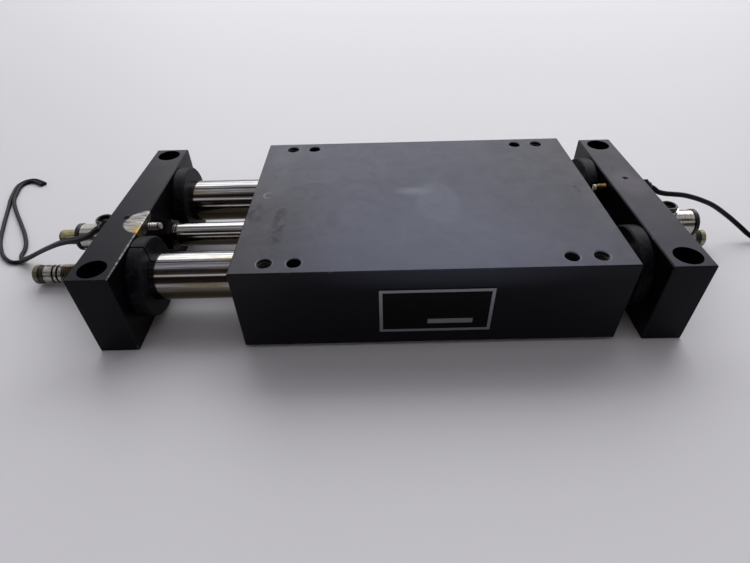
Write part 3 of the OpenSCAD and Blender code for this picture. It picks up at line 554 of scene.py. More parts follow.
for mask, tint in ((stroke_tone.outputs["Result"], "a8a49a"), (gilt, "8c7a4c")):
    skin["metal"] = add_node(left_skin, "ShaderNodeMix", {
        "Factor": mask, "A": skin["metal"], "B": colour(tint),
    }, data_type="RGBA").outputs["Result"]
# Its inner edge is rubbed bare along the front half
worn_edge = spot(left_skin, place, (inner, -37, plate_top), (0.6, 34, 0.6), 0.5)
worn_edge = add_node(left_skin, "ShaderNodeMath", {
    0: worn_edge, 1: ragged.outputs["Fac"],
}, operation="MULTIPLY")
scraped = add_node(left_skin, "ShaderNodeMath", {
    0: worn_edge.outputs[0], 1: scrape,
}, operation="MAXIMUM")
skin["bare"] = add_node(left_skin, "ShaderNodeMath", {
    0: skin["bare"], 1: scraped.outputs[0],
}, operation="MAXIMUM").outputs[0]
skin["height"] = add_node(left_skin, "ShaderNodeMath", {
    0: strokes.outputs["Fac"], 1: scrape, 2: skin["height"],
}, operation="MULTIPLY_ADD").outputs[0]
finish_block(left_skin, shader, skin)
put_on(left_skin, "left_end_plate")

# The right plate has a dull patch round its set screw
right_skin, shader, place, skin = black_anodised(
    "black_anodised_right_plate", "right_end_plate", "2d2b34", 0.12,
)
patch = spot(right_skin, place, (131, 9, plate_top), (8, 12, 3), 1.0)
skin["layers"].append((patch, "433f46"))
finish_block(right_skin, shader, skin)
put_on(right_skin, "right_end_plate")

# ------------------------------------------------ guide rods, piston rod
# Case-hardened steel, ground between wheels and hard chromed, so the surface
# mirrors the room, with fine rings of grinding round it. The piston rod's
# ends are threaded for its nuts and for the plates.
ROD_PITCH = 1.27
ROD_THREAD_X = 113


def hard_chrome(name, rod, thread_from=None):
    """Hard chrome over ground steel: a clear, slightly warm mirror with straw-coloured patches, and
    painted shade on its lower half.
    """
    material, shader = new_material(name, Metallic=1)
    low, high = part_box(rod)
    axis = (low[2] + high[2]) / 2
    place = add_node(material, "ShaderNodeTexCoord").outputs["Object"]
    # Grinding rings run round the rod, drawn 0.6 mm apart
    around = add_node(material, "ShaderNodeVectorMath", {
        0: place, 1: (1 / (0.6 * MM), 1 / (30 * MM), 1 / (30 * MM)),
    }, operation="MULTIPLY")
    rings = add_node(material, "ShaderNodeTexNoise", {
        "Vector": around.outputs[0], "Scale": 1, "Detail": 4, "Roughness": 0.7,
    })
    # Straw-coloured patches lie along the rod
    along = add_node(material, "ShaderNodeVectorMath", {
        0: place, 1: (1 / (26 * MM), 1 / (4 * MM), 1 / (4 * MM)),
    }, operation="MULTIPLY")
    straw_patches = add_node(material, "ShaderNodeTexNoise", {
        "Vector": along.outputs[0], "Scale": 1, "Detail": 5, "Roughness": 0.62,
    })
    straw_patched = add_node(material, "ShaderNodeMapRange", {
        "Value": straw_patches.outputs["Fac"], "From Min": 0.48, "From Max": 0.66, "To Max": 0.8,
    })
    # Fine bright and dull lines run the length of the stroke
    strokes = add_node(material, "ShaderNodeVectorMath", {
        0: place, 1: (1 / (70 * MM), 1 / (0.9 * MM), 1 / (0.9 * MM)),
    }, operation="MULTIPLY")
    scored = add_node(material, "ShaderNodeTexNoise", {
        "Vector": strokes.outputs[0], "Scale": 1, "Detail": 3, "Roughness": 0.6,
    })
    dulled = add_node(material, "ShaderNodeMapRange", {
        "Value": scored.outputs["Fac"], "From Min": 0.42, "From Max": 0.62, "To Max": 0.85,
    })
    # Painted shade darkens the lower half of the rod to brown
    axes = add_node(material, "ShaderNodeSeparateXYZ", {"Vector": place})
    painted_shade_below = add_node(material, "ShaderNodeMapRange", {
        "Value": axes.outputs["Z"], "From Min": axis + 3.5 * MM, "From Max": axis - 1.5 * MM,
        "To Max": 0.9,
    })
    layers = [
        (straw_patched.outputs["Result"], "8c7b48"), (dulled.outputs["Result"], "4f4e51"),
        (painted_shade_below.outputs["Result"], "574c34"),
    ]
    polish = add_node(material, "ShaderNodeMapRange", {
        "Value": rings.outputs["Fac"], "From Min": 0.3, "From Max": 0.8,
        "To Min": 0.07, "To Max": 0.19,
    })
    bump = add_node(material, "ShaderNodeBump", {
        "Height": rings.outputs["Fac"], "Distance": 0.004 * MM, "Strength": 0.5,
    })
    if thread_from:
        # The thread near the nuts is too short and fine to need a shape of its own
        far = add_node(material, "ShaderNodeMath", {0: axes.outputs["X"]}, operation="ABSOLUTE")
        threaded_end = add_node(material, "ShaderNodeMath", {
            0: far.outputs[0], 1: thread_from * MM,
        }, operation="GREATER_THAN")
        turns = add_node(material, "ShaderNodeMath", {
            0: far.outputs[0], 1: 1 / (ROD_PITCH * MM),
        }, operation="MULTIPLY")
        ridges = add_node(material, "ShaderNodeMath", {
            0: turns.outputs[0], 1: 0.5,
        }, operation="PINGPONG")
        cut = add_node(material, "ShaderNodeMath", {
            0: ridges.outputs[0], 1: threaded_end.outputs[0],
        }, operation="MULTIPLY")
        grooved = add_node(material, "ShaderNodeBump", {
            "Height": cut.outputs[0], "Distance": 1.3 * MM, "Strength": 1,
        })
        feed(material, bump, {"Normal": grooved.outputs["Normal"]})
        dirty = add_node(material, "ShaderNodeMath", {
            0: threaded_end.outputs[0], 1: 0.75,
        }, operation="MULTIPLY")
        layers.append((dirty.outputs[0], "47423c"))
    tone = colour("a9a8ab")
    for mask, tint in layers:
        tone = add_node(material, "ShaderNodeMix", {
            "Factor": mask, "A": tone, "B": colour(tint),
        }, data_type="RGBA").outputs["Result"]
    feed(material, shader, {
        "Base Color": tone, "Roughness": polish.outputs["Result"], "Normal": bump.outputs["Normal"],
    })
    return material


put_on(hard_chrome("hard_chromed_steel", "front_guide_rod"), "front_guide_rod", "rear_guide_rod")
put_on(hard_chrome("hard_chromed_piston_rod", "piston_rod", ROD_THREAD_X), "piston_rod")

# -------------------------------------------------- nuts and screws
# Steel fasteners with a black oxide coat that was oiled: nearly black, with
# brown where the coat is thin and brighter steel on the corners.


def mottled(name, tones, sheen, spread, grain, relief, **sockets):
    """A finish that wanders between two tones, and its sheen and relief with it.

    sheen is the least and the most roughness, spread the patches' width in
    millimetres, grain the noise's detail and roughness, and relief the bump's
    depth in millimetres and its strength.
    """
    material, shader = new_material(name, **sockets)
    place = add_node(material, "ShaderNodeTexCoord").outputs["Object"]
    mottle = add_node(material, "ShaderNodeTexNoise", {
        "Vector": place, "Scale": 1 / (spread * MM), "Detail": grain[0], "Roughness": grain[1],
    })
    tone = add_node(material, "ShaderNodeMix", {
        "Factor": mottle.outputs["Fac"], "A": colour(tones[0]), "B": colour(tones[1]),
    }, data_type="RGBA")
    roughness = add_node(material, "ShaderNodeMapRange", {
        "Value": mottle.outputs["Fac"], "From Min": 0.3, "From Max": 0.7,
        "To Min": sheen[0], "To Max": sheen[1],
    })
    bump = add_node(material, "ShaderNodeBump", {
        "Height": mottle.outputs["Fac"], "Distance": relief[0] * MM, "Strength": relief[1],
    })
    feed(material, shader, {
        "Base Color": tone.outputs["Result"], "Roughness": roughness.outputs["Result"],
        "Normal": bump.outputs["Normal"],
    })
    return material


put_on(
    mottled(
        "black_oxide_steel", ("0d0c0c", "241f1b"), (0.28, 0.46), 3, (6, 0.7), (0.03, 0.5),
        Metallic=0.85,
    ),
    "guide_rod_screws", "left_rod_nut", "right_rod_nut", "sensor_set_screws",
    "left_sensor_nut", "right_sensor_nut",
)

# ------------------------------------------------ bumpers, seals, wipers
# Cast urethane rings, slit so that they spread over the rods. The skin is a
# matt charcoal with dust in it and fine circular marks from the mould. The
# seals and wipers are nitrile rubber, blacker and smoother.
urethane, shader = new_material("cast_urethane", IOR=1.5, Specular_IOR_Level=0.13)
place = add_node(urethane, "ShaderNodeTexCoord").outputs["Object"]
chalk = add_node(urethane, "ShaderNodeTexNoise", {
    "Vector": place, "Scale": 1 / (4 * MM), "Detail": 8, "Roughness": 0.8, "Distortion": 1.2,
})
chalky = add_node(urethane, "ShaderNodeMapRange", {
    "Value": chalk.outputs["Fac"], "From Min": 0.46, "From Max": 0.68,
})
urethane_tone = add_node(urethane, "ShaderNodeMix", {
    "Factor": chalky.outputs["Result"], "A": colour("030304"), "B": colour("25242f"),
}, data_type="RGBA")
urethane_sheen = add_node(urethane, "ShaderNodeMapRange", {
    "Value": chalk.outputs["Fac"], "From Min": 0.3, "From Max": 0.7,
    "To Min": 0.42, "To Max": 0.62,
})
mould_lines = add_node(urethane, "ShaderNodeVectorMath", {
    0: place, 1: (1 / (1.6 * MM), 1 / (9 * MM), 1 / (9 * MM)),
}, operation="MULTIPLY")
mould = add_node(urethane, "ShaderNodeTexNoise", {
    "Vector": mould_lines.outputs[0], "Scale": 1, "Detail": 3,
})
pores = add_node(urethane, "ShaderNodeTexNoise", {
    "Vector": place, "Scale": 1 / (0.7 * MM), "Detail": 3,
})
urethane_height = add_node(urethane, "ShaderNodeMath", {
    0: mould.outputs["Fac"], 1: pores.outputs["Fac"],
}, operation="ADD")
urethane_bump = add_node(urethane, "ShaderNodeBump", {
    "Height": urethane_height.outputs[0], "Distance": 0.22 * MM, "Strength": 0.8,
})
feed(urethane, shader, {
    "Base Color": urethane_tone.outputs["Result"], "Roughness": urethane_sheen.outputs["Result"],
    "Normal": urethane_bump.outputs["Normal"],
})
put_on(
    urethane, "left_front_bumper", "left_rear_bumper", "right_front_bumper", "right_rear_bumper",
)
put_on(
    mottled(
        "nitrile_rubber", ("050506", "121215"), (0.3, 0.5), 2.5, (5, 0.7), (0.04, 0.4), IOR=1.52,
    ),
    "guide_rod_wipers", "piston_seals", "head_seals", "rod_seals",
    "left_shock_ring", "right_shock_ring",
)

# -------------------------------------- cylinder heads, piston, bushings
# The heads and the piston are turned aluminium, clear anodised, with fine
# tool rings. The ball bushings' sleeves and the plungers are ground bearing
# steel. Phosphated spring clips hold the heads in the bore.


def turned_metal(name, low, high, smooth, rough, ring):
    """Turned or ground metal: tool rings across the axis, and a tone that varies with them."""
    material, shader = new_material(name, Metallic=1)
    place = add_node(material, "ShaderNodeTexCoord").outputs["Object"]
    across = add_node(material, "ShaderNodeVectorMath", {
        0: place, 1: (1 / (ring * MM), 1 / (9 * MM), 1 / (9 * MM)),
    }, operation="MULTIPLY")
    cuts = add_node(material, "ShaderNodeTexNoise", {
        "Vector": across.outputs[0], "Scale": 1, "Detail": 4, "Roughness": 0.6,
    })
    wear = add_node(material, "ShaderNodeTexNoise", {
        "Vector": place, "Scale": 1 / (4 * MM), "Detail": 5, "Roughness": 0.7,
    })
    both = add_node(material, "ShaderNodeMath", {
        0: cuts.outputs["Fac"], 1: wear.outputs["Fac"],
    }, operation="MULTIPLY")
    mask = add_node(material, "ShaderNodeMapRange", {
        "Value": both.outputs[0], "From Min": 0.12, "From Max": 0.4,
    })
    tone = add_node(material, "ShaderNodeMix", {
        "Factor": mask.outputs["Result"], "A": colour(low), "B": colour(high),
    }, data_type="RGBA")
    sheen = add_node(material, "ShaderNodeMapRange", {
        "Value": wear.outputs["Fac"], "From Min": 0.3, "From Max": 0.7,
        "To Min": smooth, "To Max": rough,
    })
    bump = add_node(material, "ShaderNodeBump", {
        "Height": cuts.outputs["Fac"], "Distance": 0.02 * MM, "Strength": 0.5,
    })
    feed(material, shader, {
        "Base Color": tone.outputs["Result"], "Roughness": sheen.outputs["Result"],
        "Normal": bump.outputs["Normal"],
    })
    return material


put_on(
    turned_metal("clear_anodised_aluminium", "9b9ea2", "c4c7cb", 0.3, 0.42, 0.5),
    "piston", "left_cylinder_head", "right_cylinder_head",
)
put_on(
    turned_metal("ground_bearing_steel", "85868a", "b2b3b6", 0.2, 0.32, 0.4),
    "front_left_bushing", "front_right_bushing", "rear_left_bushing", "rear_right_bushing",
    "left_shock_plunger", "right_shock_plunger",
)
put_on(
    turned_metal("phosphated_spring_steel", "3a3a3d", "5a5a5c", 0.45, 0.6, 0.8),
    "piston_clips", "head_clips",
)

# ------------------------------------------------------ proximity sensors
# Threaded tubes screwed through the plates and locked by a jam nut outside.
# The left tube is plain nickel with a dark sensing face, the right one is
# brass gone brown with a pale resin face. Each lead leaves through a boot.
SENSOR_D = 4
SENSOR_AXIS = (14.1, 39.1)
# The real thread has a pitch of 0.5 mm, and is drawn coarser so that it shows
SENSOR_PITCH = 0.9


def ends(cad_part, sign):
    """A part's inner and outer end along X, in millimetres."""
    low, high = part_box(cad_part)
    inner, outer = (low[0], high[0]) if sign > 0 else (high[0], low[0])
    return inner / MM, outer / MM


def turned(name, place, profile, sides=48):
    """A solid round piece along X, drawn out ring by ring.

    place is its axis in Y and Z, and profile a list of (x, radius).
    """
    x, radius = profile[0]
    bpy.ops.mesh.primitive_circle_add(
        vertices=sides, radius=radius * MM, fill_type="NGON",
        location=Vector((x, *place)) * MM, rotation=(0, pi / 2, 0),
    )
    piece = bpy.context.object
    piece.name = name
    bpy.ops.object.transform_apply()
    bpy.ops.object.mode_set(mode="EDIT")
    bpy.ops.mesh.select_all(action="SELECT")
    for next_x, next_radius in profile[1:]:
        bpy.ops.mesh.extrude_region_move(
            TRANSFORM_OT_translate={"value": ((next_x - x) * MM, 0, 0)},
        )
        grow = next_radius / radius
        bpy.ops.transform.resize(
            value=(1, grow, grow), center_override=Vector((next_x, *place)) * MM,
        )
        x, radius = next_x, next_radius
    finish_mesh(35)
    return piece


def joined(pieces):
    """Makes one piece of several, under the first one's name."""
    bpy.ops.object.select_all(action="DESELECT")
    for piece in pieces:
        piece.select_set(True)
    bpy.context.view_layer.objects.active = pieces[0]
    bpy.ops.object.join()
    return pieces[0]


def threaded(name, place, start, end, diameter, pitch):
    """A screw thread along X: one ridge, wound along by its pitch, round a core."""
    root = diameter / 2 - 0.5 * pitch
    piece = diamond(name, pitch, (start, *place))
    select_corner(piece, (0, 0, -1))
    bpy.ops.mesh.delete(type="VERT")
    bpy.ops.mesh.select_all(action="SELECT")
    bpy.ops.transform.translate(value=(pitch / 2 * MM, 0, root * MM))
    bpy.ops.object.mode_set(mode="OBJECT")
    wind(piece, "X", pitch, round((end - start) / pitch) - 1)
    bpy.ops.object.transform_apply()
    bpy.ops.object.mode_set(mode="EDIT")
    bpy.ops.mesh.select_all(action="SELECT")
    bpy.ops.mesh.remove_doubles(threshold=1e-6)
    bpy.ops.mesh.fill_holes(sides=0)
    finish_mesh(40)
    bevel = 0.25
    core = turned(name + "_core", place, [
        (start, root - 0.3), (start + bevel, root + 0.1),
        (end - bevel, root + 0.1), (end, root - 0.3),
    ])
    return joined([piece, core])


def fit(piece, material, body, slot, *cad_nodes):
    """Gives a piece its finish and its place in the assembly."""
    piece.data.materials.clear()
    piece.data.materials.append(material)
    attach(piece, body)
    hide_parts(*cad_nodes)


def threaded_metal(name, axis, root, crest, tones, smooth, plain_from=None):
    """Metal with a thread or knurl: dirt and painted shade darken its roots, rubbing and a painted
    highlight lighten its crests.

    root and crest are the radii, in millimetres, between which the tone goes
    from the first to the second. Left and right pieces are mirrored, so the
    pattern is folded about the middle and fits both.
    """
    material, shader = new_material(name, Metallic=1)
    place = add_node(material, "ShaderNodeTexCoord").outputs["Object"]
    folded = add_node(material, "ShaderNodeVectorMath", {0: place}, operation="ABSOLUTE")
    flat = add_node(material, "ShaderNodeVectorMath", {
        0: folded.outputs[0], 1: (0, 1, 1),
    }, operation="MULTIPLY")
    reach = add_node(material, "ShaderNodeVectorMath", {
        0: flat.outputs[0], 1: Vector((0, *axis)) * MM,
    }, operation="DISTANCE")
    # The tone runs from dirt and painted shade in the roots to rubbing and a painted highlight on
    # the crests
    proud = add_node(material, "ShaderNodeMapRange", {
        "Value": reach.outputs["Value"], "From Min": root * MM, "From Max": crest * MM,
    })
    grime = add_node(material, "ShaderNodeTexNoise", {
        "Vector": place, "Scale": 1 / (2.2 * MM), "Detail": 6, "Roughness": 0.7,
    })
    shown = add_node(material, "ShaderNodeMath", {
        0: proud.outputs["Result"], 1: grime.outputs["Fac"],
    }, operation="MULTIPLY")
    lit = add_node(material, "ShaderNodeMapRange", {
        "Value": shown.outputs[0], "From Min": 0.1, "From Max": 0.55,
    })
    tones = [colour(tone) for tone in tones]
    if plain_from:
        # Past the thread the plating is clean, and black grease and painted shade darken the
        # grooves
        axes = add_node(material, "ShaderNodeSeparateXYZ", {"Vector": folded.outputs[0]})
        past = add_node(material, "ShaderNodeMath", {
            0: axes.outputs["X"], 1: plain_from * MM,
        }, operation="GREATER_THAN")
        tones = [
            add_node(material, "ShaderNodeMix", {
                "Factor": past.outputs[0], "A": tone, "B": colour(clean),
            }, data_type="RGBA").outputs["Result"]
            for tone, clean in zip(tones, ("161412", "e2dfd6"))
        ]
    tone = add_node(material, "ShaderNodeMix", {
        "Factor": lit.outputs["Result"], "A": tones[0], "B": tones[1],
    }, data_type="RGBA")
    sheen = add_node(material, "ShaderNodeMapRange", {
        "Value": grime.outputs["Fac"], "From Min": 0.3, "From Max": 0.7,
        "To Min": smooth, "To Max": smooth + 0.15,
    })
    bump = add_node(material, "ShaderNodeBump", {
        "Height": grime.outputs["Fac"], "Distance": 0.02 * MM, "Strength": 0.4,
    })
    feed(material, shader, {
        "Base Color": tone.outputs["Result"], "Roughness": sheen.outputs["Result"],
        "Normal": bump.outputs["Normal"],
    })
    return material


for side, sign, finish, slot, tones, smooth in (
    ("left", -1, "nickel_plated_tube", "nickel_plate", ("33312d", "eae7de"), 0.24),
    ("right", 1, "tarnished_brass_tube", "brass", ("33270f", "b39a50"), 0.26),
):
    start, end = sorted(ends(side + "_sensor", sign))
    tube = threaded(
        side + "_sensor_tube", (sign * SENSOR_AXIS[0], SENSOR_AXIS[1]),
        start, end, SENSOR_D, SENSOR_PITCH,
    )
    tube_metal = threaded_metal(
        finish, SENSOR_AXIS, SENSOR_D / 2 - 0.55, SENSOR_D / 2, tones, smooth,
    )
    fit(tube, tube_metal, "base", slot, side + "_sensor")

# Moulded plastic and cast resin have a low, even sheen with a slight mottle:
# grey on the left sensor's face, pale on the right one's, black on the boots
acetal = mottled(
    "black_acetal", ("08080a", "161619"), (0.3, 0.48), 1.5, (6, 0.65), (0.02, 0.4), IOR=1.5,
)
put_on(acetal, "left_sensor_boot", "right_sensor_boot")
put_on(
    mottled(
        "grey_moulded_face", ("7d7b76", "a5a29b"), (0.3, 0.48), 1.5, (6, 0.65), (0.02, 0.4),
        IOR=1.5,
    ),
    "left_sensor_face",
)
put_on(
    mottled(
        "pale_cast_resin", ("c9c3b2", "efeadd"), (0.35, 0.53), 1.2, (6, 0.65), (0.02, 0.4),
        IOR=1.5,
    ),
    "right_sensor_face",
)

# -------------------------------------------------------- shock absorbers
# Nickel-plated barrels threaded along most of their length, with a smooth
# outer end that has two grooves. A rubber ring and a knurled brass knob
# close the end: turning the knob sets how hard the absorber is.
SHOCK_PITCH = 0.907
SHOCK_AXIS = (10, 6.1)
BARREL_R = 5.4
SMOOTH_END_L = 10.2
RING_W = 2.45
KNOB_R = 5.4
KNOB_TEETH = 40


def knurl(piece, place, start, end, teeth, depth):
    """Presses straight grooves into a band of a turned piece, at every other side of it."""
    bpy.ops.object.mode_set(mode="EDIT")
    bpy.ops.mesh.select_mode(type="VERT")
    mesh = bmesh.from_edit_mesh(piece.data)
    low, high = min(start, end) * MM, max(start, end) * MM
    widest = 0
    for vertex in mesh.verts:
        y, z = vertex.co.y - place[0] * MM, vertex.co.z - place[1] * MM
        spoke = round(atan2(z, y) * teeth / pi)
        inside = low - 1e-6 <= vertex.co.x <= high + 1e-6
        vertex.select_set(inside and spoke % 2 == 1)
        widest = max(widest, hypot(y, z) if inside else 0)
    mesh.select_flush(True)
    bmesh.update_edit_mesh(piece.data)
    shrink = 1 - depth * MM / widest
    bpy.ops.transform.resize(
        value=(1, shrink, shrink), center_override=Vector(((start + end) / 2, *place)) * MM,
    )
    bpy.ops.object.mode_set(mode="OBJECT")


def slotted(piece, centre, size):
    """Saws a screwdriver slot across a piece's end."""
    bpy.ops.mesh.primitive_cube_add(location=Vector(centre) * MM, scale=Vector(size) / 2 * MM)
    saw = bpy.context.object
    bpy.context.view_layer.objects.active = piece
    cut = piece.modifiers.new("slot", "BOOLEAN")
    cut.operation = "DIFFERENCE"
    cut.object = saw
    bpy.ops.object.modifier_apply(modifier="slot")
    bpy.data.objects.remove(saw)


for side, sign, knob_tones in (
    ("left", -1, ("3b3628", "a1977a")), ("right", 1, ("6b634c", "d2cab0")),
):
    place = (sign * SHOCK_AXIS[0], SHOCK_AXIS[1])
    inner, outer = ends(side + "_shock_barrel", sign)
    smooth_from = outer - sign * SMOOTH_END_L
    start, end = sorted((inner, smooth_from))
    thread = threaded(
        side + "_absorber_barrel", place, start, end, 2 * BARREL_R, SHOCK_PITCH,
    )
    plain, groove = BARREL_R - 0.2, BARREL_R - 0.7
    smooth_end = turned(side + "_absorber_end", place, [
        (outer - sign * back, radius) for back, radius in (
            (0, BARREL_R - 0.6), (0.4, plain), (4.9, plain), (5.0, groove), (5.9, groove),
            (6.0, plain), (7.4, plain), (7.5, groove), (8.4, groove), (8.5, plain),
            (SMOOTH_END_L, plain), (SMOOTH_END_L + 0.7, groove),
        )
    ])
    barrel_nickel = threaded_metal(
        side + "_nickel_plated_barrel", SHOCK_AXIS, BARREL_R - 0.45, BARREL_R - 0.1,
        ("2c2517", "b9b096"), 0.26, plain_from=abs(smooth_from),
    )
    fit(joined([thread, smooth_end]), barrel_nickel, "base", "nickel_plate", side + "_shock_barrel")

    # The knob's neck reaches into the barrel, and its face has a slot
    tip = ends(side + "_shock_knob", sign)[1]
    bottom = outer + sign * RING_W
    knob = turned(side + "_adjuster_knob", place, [
        (outer - sign * 4.9, 2.5), (bottom, 2.5), (bottom, KNOB_R - 0.8),
        (bottom + sign * 0.5, KNOB_R), (tip - sign * 0.7, KNOB_R),
        (tip - sign * 0.15, KNOB_R - 0.5), (tip, KNOB_R - 1), (tip, 3.1), (tip - sign * 0.6, 2.8),
    ], sides=2 * KNOB_TEETH)
    knurl(knob, place, bottom + sign * 0.4, tip - sign * 0.6, KNOB_TEETH, 0.35)
    slotted(knob, (tip - sign * 0.8, *place), (1.2, 5, 0.8))
    knob_brass = threaded_metal(
        side + "_knurled_brass", SHOCK_AXIS, KNOB_R - 0.6, KNOB_R, knob_tones, 0.3,
    )
    fit(knob, knob_brass, side + "_adjuster", "brass", side + "_shock_knob")
put_on(
    turned_metal("nickel_plated_nut", "8d887d", "b5b0a6", 0.24, 0.38, 0.7),
    "left_shock_nut", "right_shock_nut",
)

# ---------------------------------------------------------- flow controls
# Nickel-plated brass bodies screwed into the piston rod's ends. An air tube
# pushes in at the top through a black acetal release ring, and a knurled
# brass needle knob turns inside a black lock collar.
put_on(
    turned_metal("nickel_plated_body", "a5a29b", "cfccc5", 0.16, 0.3, 0.6),
    "left_flow_control", "right_flow_control",
)
put_on(
    acetal, "left_release_ring", "right_release_ring", "left_needle_collar", "right_needle_collar",
)
ROD_AXIS = (0, 24)
NEEDLE_KNOB_L = 12
NEEDLE_KNOB_R = 4.1
NEEDLE_STEM_R = 1.8
NEEDLE_TEETH = 30
needle_brass = threaded_metal(
    "pale_knurled_brass", ROD_AXIS, NEEDLE_KNOB_R - 0.5, NEEDLE_KNOB_R, ("5e573c", "d6cfa4"), 0.24,
)
for side, sign in (("left", -1), ("right", 1)):
    inner, tip = ends(side + "_needle_knob", sign)
    base = tip - sign * NEEDLE_KNOB_L
    knob = turned(side + "_needle", ROD_AXIS, [
        (inner, 0.6), (inner + sign * 3, NEEDLE_STEM_R), (base, NEEDLE_STEM_R),
        (base, NEEDLE_KNOB_R - 0.3), (base + sign * 0.3, NEEDLE_KNOB_R),
        (tip - sign * 1.2, NEEDLE_KNOB_R), (tip - sign * 0.9, NEEDLE_KNOB_R - 0.4),
        (tip - sign * 0.3, NEEDLE_KNOB_R - 0.5), (tip, NEEDLE_KNOB_R - 0.8),
    ], sides=2 * NEEDLE_TEETH)
    knurl(knob, ROD_AXIS, base + sign * 0.25, tip - sign * 1.15, NEEDLE_TEETH, 0.3)
    slotted(knob, (tip, *ROD_AXIS), (2.2, 10, 0.9))
    fit(knob, needle_brass, side + "_needle", "brass", side + "_needle_knob")

# -------------------------------------------------------------- nameplate
# A thin aluminium plate stuck to the carriage's front, printed black up to
# a bare metal border, with one bare field for a number. It is left blank.
BORDER = 1.5
FIELD_PLACE = (6.8, 0, -6.4)
FIELD_HALF = (10.4, 1.4)
foil, shader = new_material("printed_aluminium_foil", Roughness=0.34, Specular_IOR_Level=0.08)
place = add_node(foil, "ShaderNodeTexCoord").outputs["Object"]
foil_low, foil_high = (Vector(corner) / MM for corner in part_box("nameplate"))
foil_middle, foil_half = (foil_high + foil_low) / 2, (foil_high - foil_low) / 2


def framed(centre, half_width, half_height):
    """A mask that is 1 inside an upright rectangle on the plate, given in millimetres."""
    soft = 0.05
    off = add_node(foil, "ShaderNodeVectorMath", {0: place, 1: centre * MM}, operation="SUBTRACT")
    away = add_node(foil, "ShaderNodeVectorMath", {0: off.outputs[0]}, operation="ABSOLUTE")
    axes = add_node(foil, "ShaderNodeSeparateXYZ", {"Vector": away.outputs[0]})
    inside = [
        add_node(foil, "ShaderNodeMapRange", {
            "Value": axes.outputs[axis],
            "From Min": (reach + soft) * MM, "From Max": (reach - soft) * MM,
        }).outputs["Result"]
        for axis, reach in (("X", half_width), ("Z", half_height))
    ]
    return add_node(foil, "ShaderNodeMath", {
        0: inside[0], 1: inside[1],
    }, operation="MULTIPLY").outputs[0]


ground = framed(foil_middle, foil_half.x - BORDER, foil_half.z - BORDER)
field = framed(foil_middle + Vector(FIELD_PLACE), *FIELD_HALF)
printed = add_node(foil, "ShaderNodeMath", {
    0: ground, 1: field,
}, operation="SUBTRACT", use_clamp=True)
brushing = add_node(foil, "ShaderNodeVectorMath", {
    0: place, 1: (1 / (12 * MM), 1 / (0.3 * MM), 1 / (0.3 * MM)),
}, operation="MULTIPLY")
brushed = add_node(foil, "ShaderNodeTexNoise", {
    "Vector": brushing.outputs[0], "Scale": 1, "Detail": 3,
})
scuffs = add_node(foil, "ShaderNodeTexNoise", {
    "Vector": place, "Scale": 1 / (3 * MM), "Detail": 7, "Roughness": 0.75,
})
bare_foil, ink = (
    add_node(foil, "ShaderNodeMix", {
        "Factor": noise.outputs["Fac"], "A": colour(dark), "B": colour(light),
    }, data_type="RGBA").outputs["Result"]
    for noise, dark, light in ((brushed, "77787c", "aeafb3"), (scuffs, "020203", "0b0b0f"))
)
foil_tone = add_node(foil, "ShaderNodeMix", {
    "Factor": printed.outputs[0], "A": bare_foil, "B": ink,
}, data_type="RGBA")
foil_metal = add_node(foil, "ShaderNodeMath", {0: 1, 1: printed.outputs[0]}, operation="SUBTRACT")
foil_bump = add_node(foil, "ShaderNodeBump", {
    "Height": printed.outputs[0], "Distance": 0.05 * MM, "Strength": 0.5,
})
feed(foil, shader, {
    "Base Color": foil_tone.outputs["Result"], "Metallic": foil_metal.outputs[0],
    "Normal": foil_bump.outputs["Normal"],
})
put_on(foil, "nameplate")

# ----------------------------------------------------- bench and lighting
# A plain pale bench top. The light is a broad window behind and above the
# slide, in a room that is pale behind and overhead and dark in front.
BENCH_W = 30
bpy.ops.mesh.primitive_plane_add(size=BENCH_W)
bench = bpy.context.object
bench.name = "bench"
# Matt laminate, a cool pale grey
bench_top, shader = new_material("pale_bench", Roughness=0.55, Base_Color=colour("d2d1d5"))
bench.data.materials.append(bench_top)

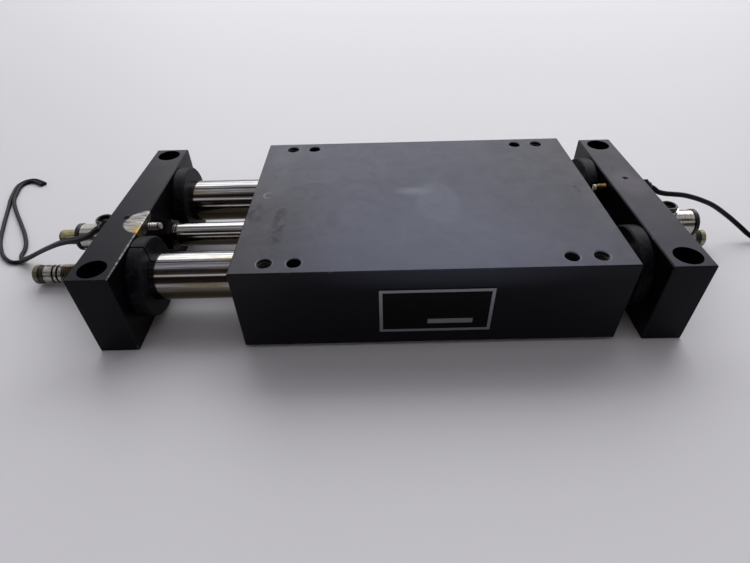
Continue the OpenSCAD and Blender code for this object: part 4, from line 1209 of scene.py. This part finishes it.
# The window, in metres and watts
WINDOW_PLACE = (0.2, 1.5, 1.4)
WINDOW_SIZE = (2.6, 1.5)
WINDOW_POWER = 34
window_light = bpy.data.lights.new("back_window", "AREA")
window_light.shape = "RECTANGLE"
window_light.size, window_light.size_y = WINDOW_SIZE
window_light.energy = WINDOW_POWER
window = bpy.data.objects.new("back_window", window_light)
window.location = WINDOW_PLACE
window.rotation_euler = (-window.location).to_track_quat("-Z", "Y").to_euler()
bpy.context.scene.collection.objects.link(window)

# The room, from the horizon in front, over the ceiling, to the one behind: how
# far round each stop is, its colour and its strength
ROOM_STRENGTH = 0.75
ROOM = (
    (0, "4a3f39", 0.4), (0.17, "4a3f39", 0.4), (0.2, "f4f1ea", 1.3), (0.225, "f4f1ea", 1.3),
    (0.25, "5d4e45", 0.5), (0.36, "5d4e45", 0.5), (0.39, "b9b6bd", 1.5), (0.54, "b9b6bd", 1.5),
    (0.56, "6a6a70", 0.7), (0.58, "6a6a70", 0.7), (0.61, "ececf0", 1.2), (1, "e4e6ea", 1.2),
)
world = bpy.data.worlds.new("room")
bpy.context.scene.world = world
world.use_nodes = True
direction = add_node(world, "ShaderNodeTexCoord").outputs["Generated"]
sky = add_node(world, "ShaderNodeSeparateXYZ", {"Vector": direction})
ahead = add_node(world, "ShaderNodeMath", {0: sky.outputs["Y"], 1: -1}, operation="MULTIPLY")
climb = add_node(world, "ShaderNodeMath", {
    0: sky.outputs["Z"], 1: ahead.outputs[0],
}, operation="ARCTAN2")
way_round = add_node(world, "ShaderNodeMath", {
    0: climb.outputs[0], 1: 1 / pi,
}, operation="MULTIPLY")
ramp = add_node(world, "ShaderNodeValToRGB", {"Fac": way_round.outputs[0]})
ramp.color_ramp.elements.remove(ramp.color_ramp.elements[1])
for index, (stop, hue, strength) in enumerate(ROOM):
    element = ramp.color_ramp.elements[0] if index == 0 else ramp.color_ramp.elements.new(stop)
    element.position = stop
    element.color = [strength * c for c in colour(hue)[:3]] + [1]
# The eye itself sees a plain pale backdrop beyond the bench
seen = add_node(world, "ShaderNodeLightPath").outputs["Is Camera Ray"]
shown = add_node(world, "ShaderNodeMix", {
    "Factor": seen, "A": ramp.outputs["Color"], "B": colour("f3f4f7"),
}, data_type="RGBA")
feed(world, world.node_tree.nodes["Background"], {
    "Color": shown.outputs["Result"], "Strength": ROOM_STRENGTH,
})
bpy.context.scene.view_settings.view_transform = "Standard"

# ------------------------------------------------------------------ scene update
bpy.context.view_layer.update()
